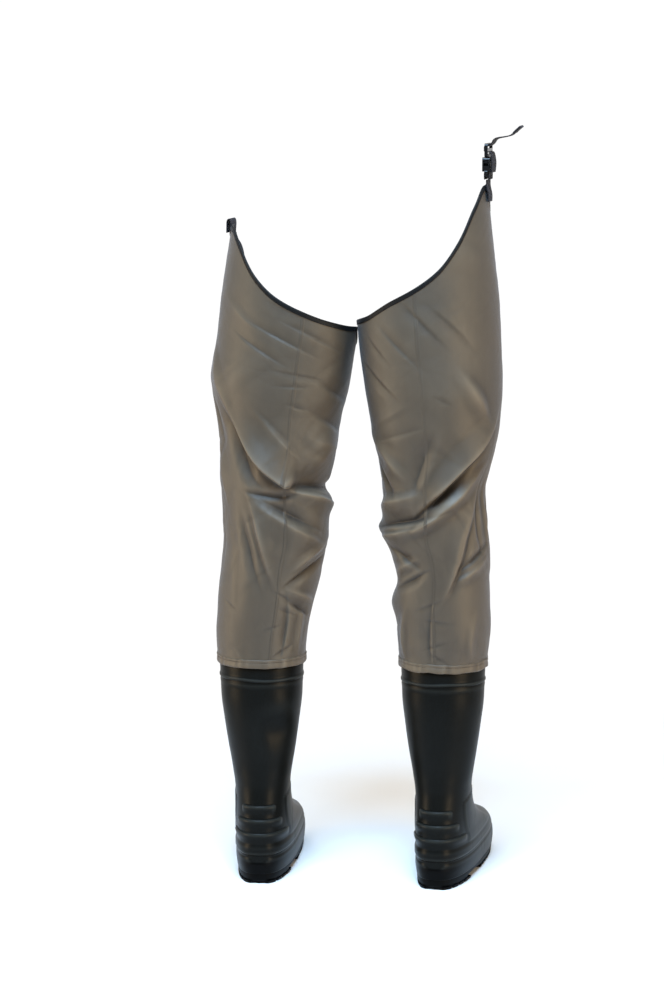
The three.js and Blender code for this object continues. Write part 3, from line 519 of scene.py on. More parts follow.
# The rim tape is near-black: partly the tape's own colour, partly painted shade standing in for the shaded
# rim edge.
BINDING = nylon("binding_tape", (5, 6, 6), (10, 11, 12), (22, 24, 26), 0.03, 0.15)
TAPE = nylon("seam_tape", (60, 58, 54), (84, 81, 75), (104, 100, 94))
KNIT = knit("jersey_lining", (128, 124, 114), (160, 155, 143))
PVC = moulded("boot_pvc", (8, 9, 8), (16, 17, 16), 420, (0.36, 0.5), 0.06, black_below=0.034)
SOLE = moulded("sole_pvc", (2, 2, 2), (5, 5, 5), 300, (0.5, 0.7), 0.05)
WEBBING = woven("webbing", (5, 5, 7), (26, 25, 32))
PLASTIC = moulded("acetal", (5, 5, 6), (10, 10, 12), 500, (0.24, 0.4), 0.3)
THREAD = woven("thread", (46, 40, 33), (78, 69, 58))
DARK_THREAD = woven("dark_thread", (10, 10, 12), (34, 34, 38))


# ---------------------------------------------------------------- mesh making

def grid(name, points, material, wrap=False, flip=False, uv=None, crest=None, caps=()):
    """A sheet of quads from points[row, column], in mm."""
    rows, columns = points.shape[:2]
    last = columns if wrap else columns - 1
    r, c = np.meshgrid(np.arange(rows - 1), np.arange(last), indexing="ij")
    right = (c + 1) % columns
    quads = np.stack([r * columns + c, r * columns + right,
                      (r + 1) * columns + right, (r + 1) * columns + c], -1).reshape(-1, 4)
    corners = np.stack([np.stack([r, c], -1), np.stack([r, c + 1], -1),
                        np.stack([r + 1, c + 1], -1), np.stack([r + 1, c], -1)], 2).reshape(-1, 4, 2)
    if flip:
        quads, corners = quads[:, ::-1], corners[:, ::-1]
    mesh = bpy.data.meshes.new(name)
    faces = quads.tolist()
    for row in caps:
        ring = [row * columns + i for i in range(columns)]
        half = columns // 2
        for i in range(half):
            a, b = ring[i], ring[(i + 1) % columns]
            d, e = ring[(columns - i) % columns], ring[columns - i - 1]
            face = [v for k, v in enumerate((a, b, e, d)) if v not in (a, b, e, d)[:k]]
            up = (row != 0) != flip
            if len(face) > 2:
                faces.append(face if up else face[::-1])
    mesh.from_pydata((points.reshape(-1, 3) * MM).tolist(), [], faces)
    layer = mesh.uv_layers.new(name="UVMap")
    if uv is None:
        middle = points[:, columns // 2]
        up = np.concatenate([[0], np.cumsum(np.linalg.norm(np.diff(middle, axis=0), axis=1))])
        around = points[rows // 2]
        closed = np.concatenate([around, around[:1]]) if wrap else around
        across = np.concatenate([[0], np.cumsum(np.linalg.norm(np.diff(closed, axis=0), axis=1))])
        uv = np.stack(np.broadcast_arrays(across[None, :], up[:, None]), -1)
    uv = uv * MM
    values = uv[corners[..., 0], np.minimum(corners[..., 1], uv.shape[1] - 1)].reshape(-1, 2)
    everything = np.zeros((len(mesh.loops), 2))
    everything[:len(values)] = values
    layer.data.foreach_set("uv", everything.ravel().astype(np.float32))
    attribute = mesh.attributes.new("crest", "FLOAT", "POINT")
    shade = np.full(rows * columns, 0.0) if crest is None else np.asarray(crest).ravel()
    attribute.data.foreach_set("value", shade.astype(np.float32))
    mesh.shade_smooth()
    return wear(name, mesh, material)


def wear(name, mesh, material):
    mesh.materials.append(material)
    made = bpy.data.objects.new(name, mesh)
    scene.collection.objects.link(made)
    return made


def settle(obj, *modifiers):
    """Adds modifiers to a piece and makes their result its mesh."""
    for kind, settings in modifiers:
        added = obj.modifiers.new(kind.lower(), kind)
        for key, value in settings.items():
            setattr(added, key, value)
    result = bpy.data.meshes.new_from_object(
        obj.evaluated_get(bpy.context.evaluated_depsgraph_get()))
    obj.modifiers.clear()
    obj.data = result
    return obj


def thicken(obj, thickness, offset=-1.0):
    return settle(obj, ("SOLIDIFY", dict(thickness=thickness * MM, offset=offset)))


def capsules(name, starts, ends, normals, radius, material):
    """Short raised stitches, each a six-sided bead with tapered ends."""
    sides, profile = 6, [(0.0, 0.25), (0.14, 0.85), (0.5, 1.0), (0.86, 0.85), (1.0, 0.25)]
    points, faces = [], []
    for start, end, normal in zip(starts, ends, normals):
        along = end - start
        across = np.cross(along, normal)
        across /= np.linalg.norm(across) + 1e-9
        base = len(points)
        for t, size in profile:
            for k in range(sides):
                turn = 2 * math.pi * k / sides
                points.append(start + along * t + radius * size * (
                    across * math.cos(turn) + normal * math.sin(turn) * 0.8))
        for ring in range(len(profile) - 1):
            for k in range(sides):
                a, b = base + ring * sides + k, base + ring * sides + (k + 1) % sides
                faces.append((a, b, b + sides, a + sides))
        faces.append([base + k for k in range(sides)][::-1])
        faces.append([base + (len(profile) - 1) * sides + k for k in range(sides)])
    mesh = bpy.data.meshes.new(name)
    mesh.from_pydata((np.array(points) * MM).tolist(), [], faces)
    mesh.shade_smooth()
    return wear(name, mesh, material)


def stitch_line(name, leg, angles, heights, pitch, lift, radius, material, share=0.68):
    """Stitches along a line on the fabric's outer face."""
    line = skin(leg, angles, heights)
    normals = skin_normal(leg, angles, heights)
    run = np.concatenate([[0], np.cumsum(np.linalg.norm(np.diff(line, axis=0), axis=1))])
    count = int(run[-1] / pitch)
    begin = (np.arange(count) + 0.5 * (1 - share)) * pitch
    sample = lambda values, at: np.stack([np.interp(at, run, values[:, i]) for i in range(3)], -1)
    starts, ends = sample(line, begin), sample(line, begin + share * pitch)
    facing = sample(normals, begin + 0.5 * share * pitch)
    facing /= np.linalg.norm(facing, axis=1, keepdims=True)
    return capsules(name, starts + facing * lift, ends + facing * lift, facing, radius, material)


# ------------------------------------------------------------------ leg pieces

COLUMNS, ROWS = 330, 360


def blurred(field, reach):
    """The field averaged over its neighbours; it closes round the leg."""
    for axis in (0, 1):
        total = np.zeros_like(field)
        for step in range(-reach, reach + 1):
            if axis:
                total += np.roll(field, step, 1)
            else:
                index = np.clip(np.arange(field.shape[0]) + step, 0, field.shape[0] - 1)
                total += field[index]
        field = total / (2 * reach + 1)
    return field


def leg_fabric(leg):
    side = leg["name"]
    angle = np.arange(COLUMNS) / COLUMNS * 360.0
    share = np.linspace(0, 1, ROWS)[:, None]
    height = HEM + 1.0 + share * (rim_height(leg, angle)[None, :] - HEM - 1.0)
    angles = np.broadcast_to(angle[None, :], height.shape)
    points = skin(leg, angles, height)
    proud = relief(leg, angles, height)[0]
    # Crest: fold ridges above their blurred surround get a painted highlight, hollows get painted shade.
    crest = 0.45 + np.clip((proud - blurred(proud, 6)) * 0.16, -0.4, 0.45)
    across = np.arange(COLUMNS + 1) / COLUMNS * 576.0
    uv = np.stack(np.broadcast_arrays(across[None, :], np.c_[height, height[:, :1]]), -1)
    piece = grid(f"{side}_leg_fabric", points, NYLON, wrap=True, flip=leg["side"] < 0,
                 uv=uv, crest=crest)
    return thicken(piece, SKIN)


def cuff(leg):
    side = leg["name"]
    angle = np.arange(240) / 240 * 360.0
    wave = np.array([noise.noise(Vector((math.cos(math.radians(a)) * 3.2,
                                         math.sin(math.radians(a)) * 3.2,
                                         leg["side"] * 4.0))) for a in angle])
    ripple = np.array([noise.noise(Vector((math.cos(math.radians(a)) * 9,
                                           math.sin(math.radians(a)) * 9,
                                           leg["side"] * 9.0))) for a in angle])
    profile = [(2.0, -0.8), (0.2, -0.5), (-0.9, 0.3), (-0.7, 1.2), (0.6, 1.7), (2.6, 1.7),
               (5.5, 1.4), (7.4, 1.0), (8.2, 0.8), (9.0, 1.1), (11.0, 1.3), (12.0, 1.0),
               (12.4, 0.5), (12.5, -0.3)]
    rows = []
    for up, off in profile:
        rise = up + 1.3 * wave * (1 if up > 0 else 1.6) + 0.5 * ripple
        swell = off + 0.9 * wave + 0.7 * ripple
        rows.append(skin(leg, angle, HEM + rise) + swell[:, None] * radial(leg, angle))
    points = np.array(rows)
    # Crest follows the ripple that swells the hem: painted highlight where it bulges out, painted shade
    # where it tucks in.
    return grid(f"{side}_cuff_hem", points, CUFF, wrap=True, flip=leg["side"] < 0,
                crest=np.full(points.shape[:2], 0.5) + 0.25 * ripple[None, :])


def radial(leg, angle):
    turn = np.radians(angle)
    return np.stack([leg["side"] * np.cos(turn), np.sin(turn), np.zeros_like(turn)], -1)


def rim_binding(leg):
    side = leg["name"]
    angle = np.arange(300) / 300 * 360.0
    edge = rim_height(leg, angle)
    profile = [(-6.0, -0.2), (-6.0, 0.6), (-5.5, 0.85), (-3.5, 0.8), (-1.5, 1.0), (0.2, 0.9),
               (1.2, 0.4), (1.5, -0.5), (1.1, -1.6), (-0.5, -2.0), (-3.0, -1.9), (-5.6, -1.9),
               (-6.0, -1.6), (-6.0, -1.0)]
    rows = [skin(leg, angle, edge + up) + off * radial(leg, angle) for up, off in profile]
    return grid(f"{side}_rim_tape", np.array(rows), BINDING, wrap=True,
                flip=leg["side"] < 0, crest=np.full((len(profile), len(angle)), 0.45))


def flat_strip(name, leg, angles, heights, half, tall, material, inward=False):
    """A tape laid on the fabric along a line of angles and heights."""
    across = np.linspace(-1, 1, 7)
    base = skin_normal(leg, angles, heights)
    columns = []
    for x in across:
        lift = tall * (1 - abs(x) ** 5) - (0.35 if abs(x) == 1 else 0)
        if inward:
            lift = -SKIN - lift
        columns.append(skin(leg, angles + x * half / DEGREE, heights) + base * lift)
    points = np.stack(columns, 1)
    return grid(name, points, material, flip=(leg["side"] < 0) != inward,
                crest=np.full(points.shape[:2], 0.4))


def seam(leg):
    side = leg["name"]
    top = float(rim_height(leg, leg["seam"])) - 8
    heights = np.linspace(HEM + 12, top, 260)
    angles = leg["seam"] + 2.0 * np.sin((heights - HEM) / 41) * ease(520 - heights, 0, 90)
    felled = flat_strip(f"{side}_felled_seam", leg, angles, heights, 3.5, 0.28, NYLON)
    sewn = heights < 560
    made = [felled]
    for k, shift in enumerate((-2.6, 2.6)):
        made.append(stitch_line(f"{side}_seam_stitches_{k}", leg, (angles + shift / DEGREE)[sewn],
                                heights[sewn], 3.4, 0.3, 0.22, THREAD))
    tape = flat_strip(f"{side}_seam_tape", leg, angles, heights, 9, 0.5, TAPE, inward=True)
    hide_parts(f"{side}_seam_tape_lower", f"{side}_seam_tape_upper")
    return made + [tape]


def peak_patch(leg):
    side = leg["name"]
    top = float(rim_height(leg, 0)) - 13
    heights = np.linspace(top - 46, top, 20)
    across = np.linspace(-11, 11, 15)
    grid_angle, grid_height = np.meshgrid(across, heights)
    normal = skin_normal(leg, grid_angle, grid_height)
    u = np.clip(1 - np.abs(across / 11) ** 6, 0, 1)[None, :]
    v = np.clip(1 - np.abs(np.linspace(-1, 1, 20)) ** 8, 0, 1)[:, None]
    points = skin(leg, grid_angle, grid_height) - normal * (SKIN + 0.2 + 1.1 * (u * v)[..., None])
    piece = grid(f"{side}_peak_patch_lining", points, NYLON, flip=leg["side"] > 0,
                 crest=np.full(points.shape[:2], 0.45))
    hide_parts(f"{side}_peak_patch")
    return piece


# --------------------------------------------------------------------- boots

BOOT_SIDES = 120
# height, heel, toe, half width at the heel and at the ball, fullness
SECTIONS = [
    (16, 55, 224, 38, 47, 0.74), (30, 57, 225, 40, 48, 0.74), (42, 57, 222, 40.5, 47.5, 0.75),
    (52, 57.5, 214, 41, 46.5, 0.76), (62, 57.5, 202, 41, 45, 0.77), (72, 57, 176, 41.5, 43.5, 0.79),
    (82, 57, 144, 40.5, 42.5, 0.82), (92, 56, 114, 39.5, 42, 0.86), (102, 54.5, 92, 39, 41, 0.9),
    (115, 52.5, 75, 38.5, 40, 0.94), (130, 50, 64, 38.5, 39.5, 0.97), (150, 48, 56, 40, 40, 1),
    (168, 48, 52, 42.5, 42.5, 1), (210, 52.5, 53, 49.5, 49.5, 1), (250, 56.5, 56.5, 55, 55, 1),
    (290, 59.5, 59.5, 59.5, 59.5, 1), (355, 61, 61, 61, 61, 1)]
RIBS = [(120, 34), (99, 47), (78, 60)]  # upper edge and half arc of each heel rib


def boot_relief(leg, turn, z):
    """Moulded features of the boot: how proud the upper stands, in mm."""
    heel = np.abs((turn + 180) % 360 - 180)
    proud = np.zeros(np.broadcast(turn, z).shape)
    for top, half in RIBS:
        over = ease(top + 0.7 - z, 0, 1.8) * ease(z, top - 17.5, top - 2.5)
        proud = proud + (0.5 + 2.2 * ease(z, top - 16, top)) * over * ease(half + 2.5 - heel, 0, 5)
    counter = ease(63 - z, 0, 8) * ease(z, 46.2, 48.2)
    proud = proud + 2.0 * counter * (0.55 + 0.45 * ease(80 - heel, 0, 20))
    line = 38.5 - 6.5 * ease(16 - heel, 0, 10) + 3 * ease(heel, 60, 150)
    proud = proud + 0.9 * np.exp(-((z - line) / 1.3) ** 2)
    proud = proud + 1.1 * ease(line - z, 0, 2)
    patch = ease(heel, 62, 66) * ease(122 - heel, 0, 4) * ease(128 + (heel - 62) * 0.35 - z, 0, 2.5)
    proud = proud + 1.2 * patch * ease(z, 58, 66)
    tongue = ease(heel, 140, 146) * ease(z, 92, 96) * ease(190 - z, 0, 60)
    proud = proud + 0.9 * tongue
    ankle = np.sin(z / 5.2 + np.radians(heel) * 2.2) * ease(z, 122, 140) * ease(196 - z, 0, 30)
    proud = proud + 0.7 * ankle * ease(heel, 90, 150)
    if leg["side"] > 0:
        far = (((turn - 322 + 180) % 360 - 180) / 26) ** 2 + ((z - 240) / 26) ** 2
        proud = proud - 6.5 * np.exp(-far)
        far = (((turn - 316 + 180) % 360 - 180) / 30) ** 2 + ((z - 272) / 22) ** 2
        proud = proud + 2.0 * np.exp(-far)
    far = (((turn - 40 + 180) % 360 - 180) / 34) ** 2 + ((z - 205) / 34) ** 2
    proud = proud - 2.0 * np.exp(-far)
    proud = proud + 0.8 * np.exp(-((z - 309) / 1.6) ** 2)
    return proud


def boot_points(leg, turn, z, grow=0.0, features=1.0, level=None):
    """Points of the boot. Turn 0 is the heel and 180 the toe."""
    turn, z = np.broadcast_arrays(np.asarray(turn, float), np.asarray(z, float))
    at = z if level is None else np.broadcast_to(level, z.shape)
    columns = list(zip(*SECTIONS))
    heel, toe, narrow, ball, full = (smooth(columns[0], c, at) for c in columns[1:])
    a = np.radians(turn)
    toward = (1 - np.cos(a)) / 2
    proud = grow + features * boot_relief(leg, turn, z)
    fuller = lambda v: np.sign(v) * np.abs(v) ** full
    inset = np.maximum((toe - 61) / 160, 0) * 5 * toward**2
    out = fuller(np.sin(a)) * (narrow + (ball - narrow) * toward + proud) - inset
    back = (heel - toe) / 2 + fuller(np.cos(a)) * ((heel + toe) / 2 + proud)
    return boot_place(leg, out, back, z)


def boot_place(leg, out, back, z):
    fade = np.clip((290 - z) / (290 - 168), 0, 1)
    angle = np.radians(leg["toe_out"] * fade)
    x = leg["ankle"][0] + out * np.cos(angle) - back * np.sin(angle)
    y = leg["ankle"][1] + out * np.sin(angle) + back * np.cos(angle)
    return np.stack([leg["middle"][0] + leg["side"] * x, leg["middle"][1] + y,
                     np.broadcast_to(z, x.shape)], -1)


def boot(leg):
    side = leg["name"]
    turn = np.arange(BOOT_SIDES) / BOOT_SIDES * 360.0
    z = np.concatenate([np.arange(16.3, 128, 0.9), np.arange(128, 355.5, 2.6), [355]])[:, None]
    points = boot_points(leg, turn[None, :], z)
    lift = boot_relief(leg, turn[None, :], z)
    # Crest: mouldings standing above their surround get a painted highlight.
    crest = np.clip((lift - blurred(lift, 3)) * 0.9, 0, 1)
    piece = grid(f"{side}_boot_upper", points, PVC, wrap=True, flip=leg["side"] < 0,
                 crest=crest)
    thicken(piece, 2.6)
    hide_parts(f"{side}_boot_shell")

    profile = [(315.4, 0.2), (315.2, 2.8), (315.9, 3.9), (317.6, 4.3), (319.4, 3.9),
               (320.6, 3.0), (324, 2.9), (333, 3.1), (336, 2.8), (337.4, 1.6), (337.6, 0.2)]
    sag = 0.9 * np.sin(np.radians(turn * 2 + 40)) + 0.5 * np.sin(np.radians(turn * 5))
    rows = [boot_points(leg, turn, up + (sag if up < 330 else 0 * sag), grow, 0)
            for up, grow in profile]
    # Crest marks the rolled bead at 316 to 320 mm for a painted highlight.
    crest = np.array([[0.9 if 316 < up < 320 else 0.0] * BOOT_SIDES for up, grow in profile])
    collar = grid(f"{side}_boot_collar_band", np.array(rows), PVC, wrap=True,
                  flip=leg["side"] < 0, crest=crest)
    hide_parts(f"{side}_boot_collar")

    rows = [boot_points(leg, turn, up, grow, 0)
            for up, grow in [(338.6, 0.3), (338.7, 1.6), (346, 1.8), (354, 1.6), (354.6, 0.4)]]
    tape = grid(f"{side}_bonding_tape", np.array(rows), TAPE, wrap=True, flip=leg["side"] < 0,
                crest=np.full((5, BOOT_SIDES), 0.3))
    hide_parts(f"{side}_joint_tape")

    z = np.concatenate([np.arange(20.6, 120, 3.0), np.arange(120, 333, 7.0), [333]])[:, None]
    inner = boot_points(leg, turn[None, :], z, -4.4, 0, level=np.minimum(z + 3.2, 355))
    lining = grid(f"{side}_jersey_lining", inner, KNIT, wrap=True, flip=leg["side"] < 0, caps=(0,))
    thicken(lining, 1.0, 1.0)
    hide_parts(f"{side}_boot_lining")

    rows = [boot_points(leg, turn, up, grow, 0, level=26)
            for up, grow in [(21.8, -9), (22.2, -7.4), (25, -7), (26.2, -7.6), (26.6, -9.5)]]
    footbed = grid(f"{side}_footbed", np.array(rows), KNIT, wrap=True, flip=leg["side"] < 0,
                   caps=(0, 4))
    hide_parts(f"{side}_insole")
    return [piece, collar, tape, lining, footbed, outsole(leg, turn)]


def outsole(leg, turn):
    """The sole: a wall in the foot's outline over heel and forefoot lugs."""
    side = leg["name"]
    heel = np.abs((turn + 180) % 360 - 180)
    back = 55 + (np.cos(np.radians(turn)) - 1) * 139.5
    waist = ease(back, -80, -72) * ease(-21 - back, 0, 8)
    under = 3.6 + 3.6 * waist
    crown = 26.5 - 4.5 * ease(heel, 70, 130) - 3.5 * ease(16 - heel, 0, 9)
    rows = []
    for share, grow in [(0, -2.2), (0.02, -0.4), (0.1, 1.3), (0.22, 2.1), (0.4, 2.5), (0.55, 2.6),
                        (0.7, 2.4), (0.86, 2.9), (0.93, 2.7), (0.98, 1.9), (1.0, 0.4)]:
        z = under + (crown - under) * share
        rows.append(boot_points(leg, turn, z, grow, 0, level=20))
    # Crest 0.35 on the wall's bulging upper lip gives a painted highlight.
    wall = grid(f"{side}_sole_wall", np.array(rows), SOLE, wrap=True, flip=leg["side"] < 0,
                caps=(0,), crest=np.array([[0.35 if 0.8 < s < 0.95 else 0.0] * BOOT_SIDES for s in
                                           (0, .02, .1, .22, .4, .55, .7, .86, .93, .98, 1)]))
    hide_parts(f"{side}_outsole")
    stations = np.linspace(-180, 0, 181)
    rim = boot_points(dict(leg, toe_out=0), stations, 18, 1.8, 0, level=20)
    reach = leg["side"] * (rim[:, 0] - leg["middle"][0]) - leg["ankle"][0]
    depth = rim[:, 1] - leg["middle"][1] - leg["ankle"][1]
    other = boot_points(dict(leg, toe_out=0), -stations, 18, 1.8, 0, level=20)
    reach_far = leg["side"] * (other[:, 0] - leg["middle"][0]) - leg["ankle"][0]
    blocks = []
    spans = [(b, b - 12.5) for b in (54, 38, 21, 4)] + [(-6, -22)]
    spans += [(b, b - 11.5) for b in range(-78, -222, -16)]
    for index, (rear, fore) in enumerate(spans):
        at = np.linspace(rear, fore, 7)
        order = np.argsort(depth)
        near = np.interp(at, depth[order], reach[order])
        far = np.interp(at, depth[order], reach_far[order])
        blocks.append(lug(leg, at, near, far, index))
    lugs = join(blocks, f"{side}_sole_lugs")
    return [wall, lugs]


def lug(leg, back, near, far, index):
    """One bar of the tread, with a shallow zigzag and eased edges."""
    across = np.linspace(0, 1, 13)
    rows = []
    for z, inset in [(4.2, 0.0), (0.8, 0.4), (0.0, 1.5)]:
        middle = back.mean()
        for t in across:
            zig = 1.6 * (abs((t * 4) % 2 - 1) - 0.5)
            out = near + (far - near) * t
            out = out + np.sign(out - (near + far) / 2) * -inset
            depth = middle + (back - middle) * (1 - inset / abs(back - middle).max()) + zig
            rows.append(boot_place(leg, out, depth, np.full(len(back), z)))
    points = np.array(rows).reshape(3, 13, 7, 3)
    ring = lambda layer: np.concatenate([layer[:, 0], layer[-1, 1:], layer[-2::-1, -1],
                                         layer[0, -2:0:-1]])
    shell = grid(f"lug_{index}", np.array([ring(layer) for layer in points]), SOLE, wrap=True)
    floor = grid(f"lug_floor_{index}", points[2], SOLE)
    return join([shell, floor], f"lug_{index}")


def join(objects, name):
    """One piece from several, with their shared edges merged."""
    import bmesh
    made = bmesh.new()
    for part in objects:
        made.from_mesh(part.data)
    bmesh.ops.remove_doubles(made, verts=made.verts, dist=0.00002)
    bmesh.ops.recalc_face_normals(made, faces=made.faces)
    mesh = bpy.data.meshes.new(name)
    made.to_mesh(mesh)
    made.free()
    mesh.shade_smooth()
    material = objects[0].data.materials[0]
    for part in objects:
        bpy.data.objects.remove(part)
    return wear(name, mesh, material)


# -------------------------------------------------------------------- straps

WEB_HALF, WEB = 18.0, 1.5


def ribbon(name, line, origin, side, half=WEB_HALF, thickness=WEB, thick_end=0, wavy=0.0):
    """Webbing along a line of (out, up) points, in the strap's directions."""
    p = np.array(line, float)
    dense = []
    for i in range(len(p) - 1):
        a = p[max(i - 1, 0)]
        b, c = p[i], p[i + 1]
        d = p[min(i + 2, len(p) - 1)]
        for t in np.arange(6) / 6:
            dense.append(0.5 * (2 * b + (c - a) * t + (2 * a - 5 * b + 4 * c - d) * t**2
                                + (3 * b - a - 3 * c + d) * t**3))
    dense.append(p[-1])
    p = np.array(dense)
    along = np.gradient(p, axis=0)
    along /= np.linalg.norm(along, axis=1, keepdims=True) + 1e-9
    normal = np.stack([-along[:, 1], along[:, 0]], -1)
    run = np.concatenate([[0], np.cumsum(np.linalg.norm(np.diff(p, axis=0), axis=1))])
    thick = thickness * np.where(run > run[-1] - thick_end, 2.0, 1.0)
    section = [(-1, 0), (-0.985, 0.72), (-0.93, 1), (-0.5, 1), (0, 1), (0.5, 1), (0.93, 1),
               (0.985, 0.72), (1, 0), (0.985, -0.72), (0.93, -1), (0.5, -1), (0, -1), (-0.5, -1),
               (-0.93, -1), (-0.985, -0.72)]
    points = np.empty((len(p), len(section), 3))
    for k, (across, lift) in enumerate(section):
        bow = wavy * math.sin(across * 2.2) * np.sin(run / 9)
        place = p + normal * (lift * thick / 2 + bow)[:, None]
        points[:, k, 0] = origin[0] + side * place[:, 0]
        points[:, k, 1] = origin[1] + across * half
        points[:, k, 2] = origin[2] + place[:, 1]
    u = np.array([across * half for across, lift in section] + [-half])
    uv = np.stack(np.broadcast_arrays(u[None, :], run[:, None]), -1)
    return grid(name, points, WEBBING, wrap=True, uv=uv, caps=(0, len(p) - 1),
                flip=side < 0)


def box_tack(name, origin, side, out, low, high, half):
    """A sewn box with a cross, on the outside of the webbing."""
    corners = [(-half, low), (half, low), (half, high), (-half, high), (-half, low),
               (half, high), (half, low), (-half, high)]
    starts, ends = [], []
    for (a, b), (c, d) in zip(corners, corners[1:]):
        length = math.hypot(c - a, d - b)
        count = max(2, int(length / 2.6))
        for k in range(count):
            t0, t1 = (k + 0.16) / count, (k + 0.84) / count
            starts.append((a + (c - a) * t0, b + (d - b) * t0))
            ends.append((a + (c - a) * t1, b + (d - b) * t1))
    spot = lambda q: np.array([origin[0] + side * out, origin[1] + q[0], origin[2] + q[1]])
    normals = [np.array([side, 0.0, 0.0])] * len(starts)
    return capsules(name, [spot(q) for q in starts], [spot(q) for q in ends], normals, 0.34,
                    DARK_THREAD)


def strap(leg):
    side, way = leg["name"], leg["side"]
    joints = {j["name"]: j for j in frame["record"]["behaviour"]["joints"]}
    pivot = [c / MM for c in joints[f"{side}_strap_swing"]["pos_m"]]
    stands = leg["side"] < 0
    low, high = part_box(f"{side}_strap_anchor")
    low, high = low / MM, high / MM
    outer = (low.x if way < 0 else high.x) - pivot[0]
    made = {}
    if stands:
        outer = way * outer
        sewn = [(outer - 1.0, low.z - pivot[2]), (outer - 0.9, low.z - pivot[2] + 10),
                (0.4, -9), (0, -3.5), (0, 1.5)]
        anchor = ribbon(f"{side}_sewn_webbing", sewn, pivot, way)
    else:
        inward = way * (pivot[0] - (high.x if way > 0 else low.x)) + 0.8
        edge = high.z - pivot[2] - 8
        sewn = [(-inward + 0.4, edge - 15), (-inward + 0.2, edge - 7), (-inward, edge),
                (-inward - 0.8, edge + 3.4), (-inward - 2.8, edge + 5),
                (-inward - 4.8, edge + 3), (-inward - 5.4, edge - 3), (-inward - 5.2, edge - 20),
                (5, edge * 0.42), (1, edge * 0.16), (0, -1.5)]
        anchor = ribbon(f"{side}_sewn_webbing", sewn, pivot, way)
    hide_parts(f"{side}_strap_anchor")
    made["thigh"] = [anchor]

    turn = 1 if stands else -1
    place = lambda line: [(turn * out, turn * up) for out, up in line]
    loop_line = [(-2.9, 2.0), (-3.2, 6), (-3.1, 11.5), (-1.9, 15.0), (0, 16.2), (1.9, 15.0),
                 (3.1, 11.5), (3.2, 6), (2.9, 2.0)]
    loop = ribbon(f"{side}_buckle_loop", place(loop_line), pivot, way)
    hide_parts(f"{side}_web_loop")
    tack = box_tack(f"{side}_loop_tack", pivot, way, turn * 4.1, *sorted((turn * 2.6, turn * 7.6)),
                    14)
    made["strap"] = [loop, tack]

    if stands:
        line = [(7.4, 12), (8.0, 25.5), (6.5, 37.4), (4.6, 41.0), (-3.2, 42.6), (-3.9, 44.8),
                (-3.9, 48.4), (-3.0, 50.0), (3.2, 51.0), (7, 54.2), (10, 59.2), (15, 61.8),
                (24, 63.4), (33, 65.6), (38, 69), (42, 73), (48.5, 78.6)]
    else:
        line = [(7.4, 12), (8.0, 25.5), (6.5, 37.4), (4.6, 41.0), (-3.2, 42.6), (-3.9, 44.8),
                (-3.9, 48.4), (-3.0, 50.0), (3.2, 51.0), (6, 55.2), (6.6, 62), (6.6, 70),
                (6.2, 76), (5.6, 80), (5.6, 88)]
    web = ribbon(f"{side}_belt_webbing", place(line), pivot, way, thick_end=14, wavy=0.5)
    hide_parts(f"{side}_strap_webbing")
    made["buckle"] = [web]
    for node in ("buckle_socket", "buckle_tongue", "buckle_arm_front", "buckle_arm_rear"):
        data = frame["nodes"][f"{side}_{node}"]
        data = bpy.data.objects[f"{side}_{node}"] if isinstance(data, str) else data
        slots = data.material_slots
        if slots:
            for held in slots:
                held.material = PLASTIC
        else:
            data.data.materials.append(PLASTIC)
    return made


# ------------------------------------------------------------------ assembly

def build(leg):
    side = leg["name"]
    boot_body, thigh = f"{side}_boot", f"{side}_thigh"
    fabric = leg_fabric(leg)
    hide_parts(f"{side}_fabric_lower", f"{side}_fabric_knee", f"{side}_fabric_upper")
    hem = cuff(leg)
    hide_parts(f"{side}_cuff_band")
    around = np.linspace(0, 360, 361)
    hem_stitches = stitch_line(f"{side}_hem_stitches", leg, around, HEM + 8.2 + 0 * around,
                               3.6, 1.1, 0.26, THREAD)
    binding = rim_binding(leg)
    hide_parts(f"{side}_rim_binding")
    edge = rim_height(leg, around)
    rim_stitches = stitch_line(f"{side}_rim_stitches", leg, around, edge - 4.6, 3.6, 0.9, 0.26,
                               DARK_THREAD)
    patch = peak_patch(leg)
    seams = seam(leg)
    x, y = (c * MM for c in leg["middle"])
    x += leg["side"] * 0.126
    for piece in (fabric, *seams):
        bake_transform(piece)
    for piece in (hem, hem_stitches):
        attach(piece, boot_body)
    for piece in (binding, rim_stitches, patch):
        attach(piece, thigh)
    shell, collar, tape, lining, footbed, sole = boot(leg)
    for piece, slot in ((shell, "boot_pvc"), (collar, "boot_pvc"), (tape, "trim"),
                        (lining, "lining"), (footbed, "lining"), (sole[0], "sole_pvc"),
                        (sole[1], "sole_pvc")):
        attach(piece, boot_body)
    made = strap(leg)
    for body, pieces in made.items():
        for piece in pieces:
            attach(piece, f"{side}_{body}")


target = Vector((LEGS["left"]["middle"][0] * MM, LEGS["left"]["middle"][1] * MM, 0.56))
away = Vector((-4.1 * math.sin(math.radians(12)), 4.1 * math.cos(math.radians(12)), 0.69))
camera_data = bpy.data.cameras.new("camera")
camera_data.sensor_width = 36
camera_data.lens = 99.4
camera_data.shift_x = -0.025
camera_data.shift_y = 0.0177
camera = bpy.data.objects.new("camera", camera_data)
camera.location = target + away
camera.rotation_euler = (-away).to_track_quat("-Z", "Y").to_euler()
scene.collection.objects.link(camera)
scene.camera = camera

for leg in LEGS.values():
    build(leg)

# ---------------------------------------------------------- floor and lights

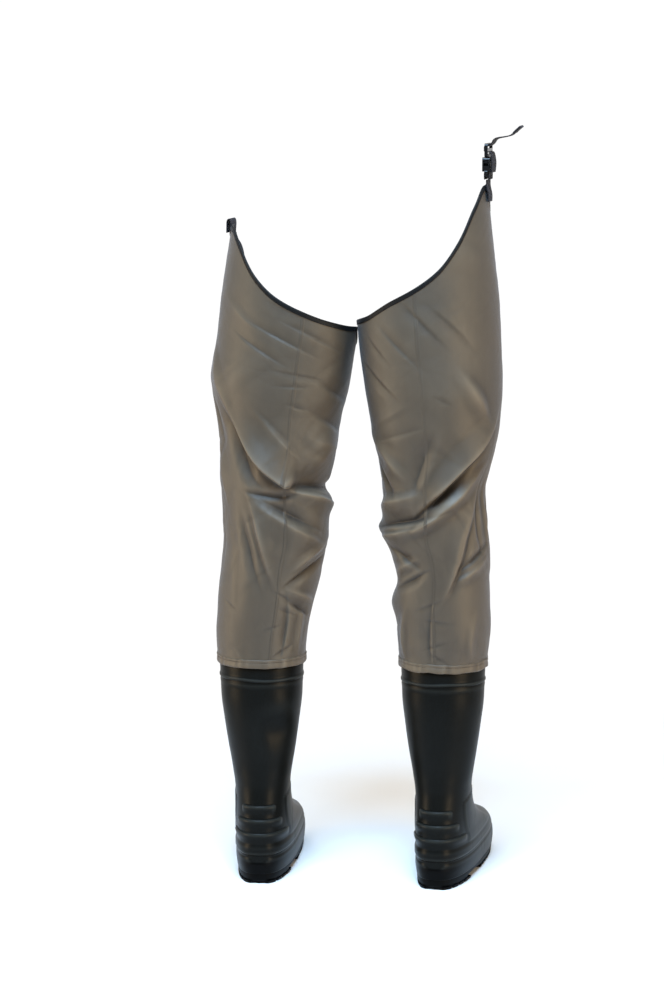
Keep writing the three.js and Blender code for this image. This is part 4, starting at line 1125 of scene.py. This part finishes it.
floor_finish = Finish("studio_floor", 0.9, specular=0.1)
spot = floor_finish.place("Object")
pale = floor_finish.mix(floor_finish.grain(spot, 3.0), (0.86, 0.86, 0.86, 1), (0.9, 0.9, 0.9, 1))
reach = floor_finish.node("ShaderNodeVectorMath", {0: spot}, operation="LENGTH").outputs["Value"]
fade = floor_finish.node("ShaderNodeMapRange", {
    "Value": reach, "From Min": 0.45, "From Max": 1.3, "To Min": 1.0, "To Max": 0.0},
    interpolation_type="SMOOTHSTEP").outputs[0]
floor_finish.tree.links.new(fade, floor_finish.shader.inputs["Alpha"])
bpy.ops.mesh.primitive_plane_add(size=3, location=(0, 0, -0.0005))
floor = bpy.context.object
floor.name = "studio_floor"
floor.data.materials.append(floor_finish.done(pale))

# A studio with white walls up to a little over the horizon and a dim ceiling.
world = bpy.data.worlds.new("studio")
world.use_nodes = True
tree = world.node_tree
facing = tree.nodes.new("ShaderNodeTexCoord").outputs["Generated"]
split = tree.nodes.new("ShaderNodeSeparateXYZ")
tree.links.new(facing, split.inputs[0])
shade = tree.nodes.new("ShaderNodeValToRGB")
shade.color_ramp.elements[0].position = 0.16
shade.color_ramp.elements[0].color = (1.0, 1.0, 1.0, 1)
shade.color_ramp.elements[1].position = 0.42
shade.color_ramp.elements[1].color = (0.13, 0.15, 0.17, 1)
tree.links.new(split.outputs["Z"], shade.inputs[0])
tree.links.new(shade.outputs[0], tree.nodes["Background"].inputs[0])
wall = tree.nodes.new("ShaderNodeMapRange")
wall.interpolation_type = "SMOOTHSTEP"
for name, value in (("From Min", 0.4), ("From Max", -0.6), ("To Min", 0.4), ("To Max", 1.03)):
    wall.inputs[name].default_value = value
tree.links.new(split.outputs["Y"], wall.inputs["Value"])
tree.links.new(wall.outputs[0], tree.nodes["Background"].inputs[1])
scene.world = world


def soft_light(name, where, aim, size, power, colour):
    data = bpy.data.lights.new(name, "AREA")
    data.shape = "RECTANGLE"
    data.size, data.size_y = size
    data.energy = power
    data.color = colour
    made = bpy.data.objects.new(name, data)
    made.location = where
    made.rotation_euler = (Vector(where) - Vector(aim)).to_track_quat("Z", "Y").to_euler()
    scene.collection.objects.link(made)


soft_light("overhead", (-0.1, 1.6, 2.8), (0, 0, 0.85), (1.6, 1.0), 190, (0.44, 0.70, 1.0))
soft_light("side_warm_left", (2.1, 0.9, 0.35), (0, 0, 0.35), (0.9, 1.2), 42, (1.0, 0.76, 0.48))
soft_light("side_warm_right", (-2.1, 1.2, 0.35), (0, 0, 0.35), (0.9, 1.2), 50, (1.0, 0.76, 0.48))
soft_light("floor_fill", (0, 0.2, 2.6), (0, 0, 0), (2.6, 2.6), 55, (1.0, 0.92, 0.80))
scene.view_settings.view_transform = "Standard"
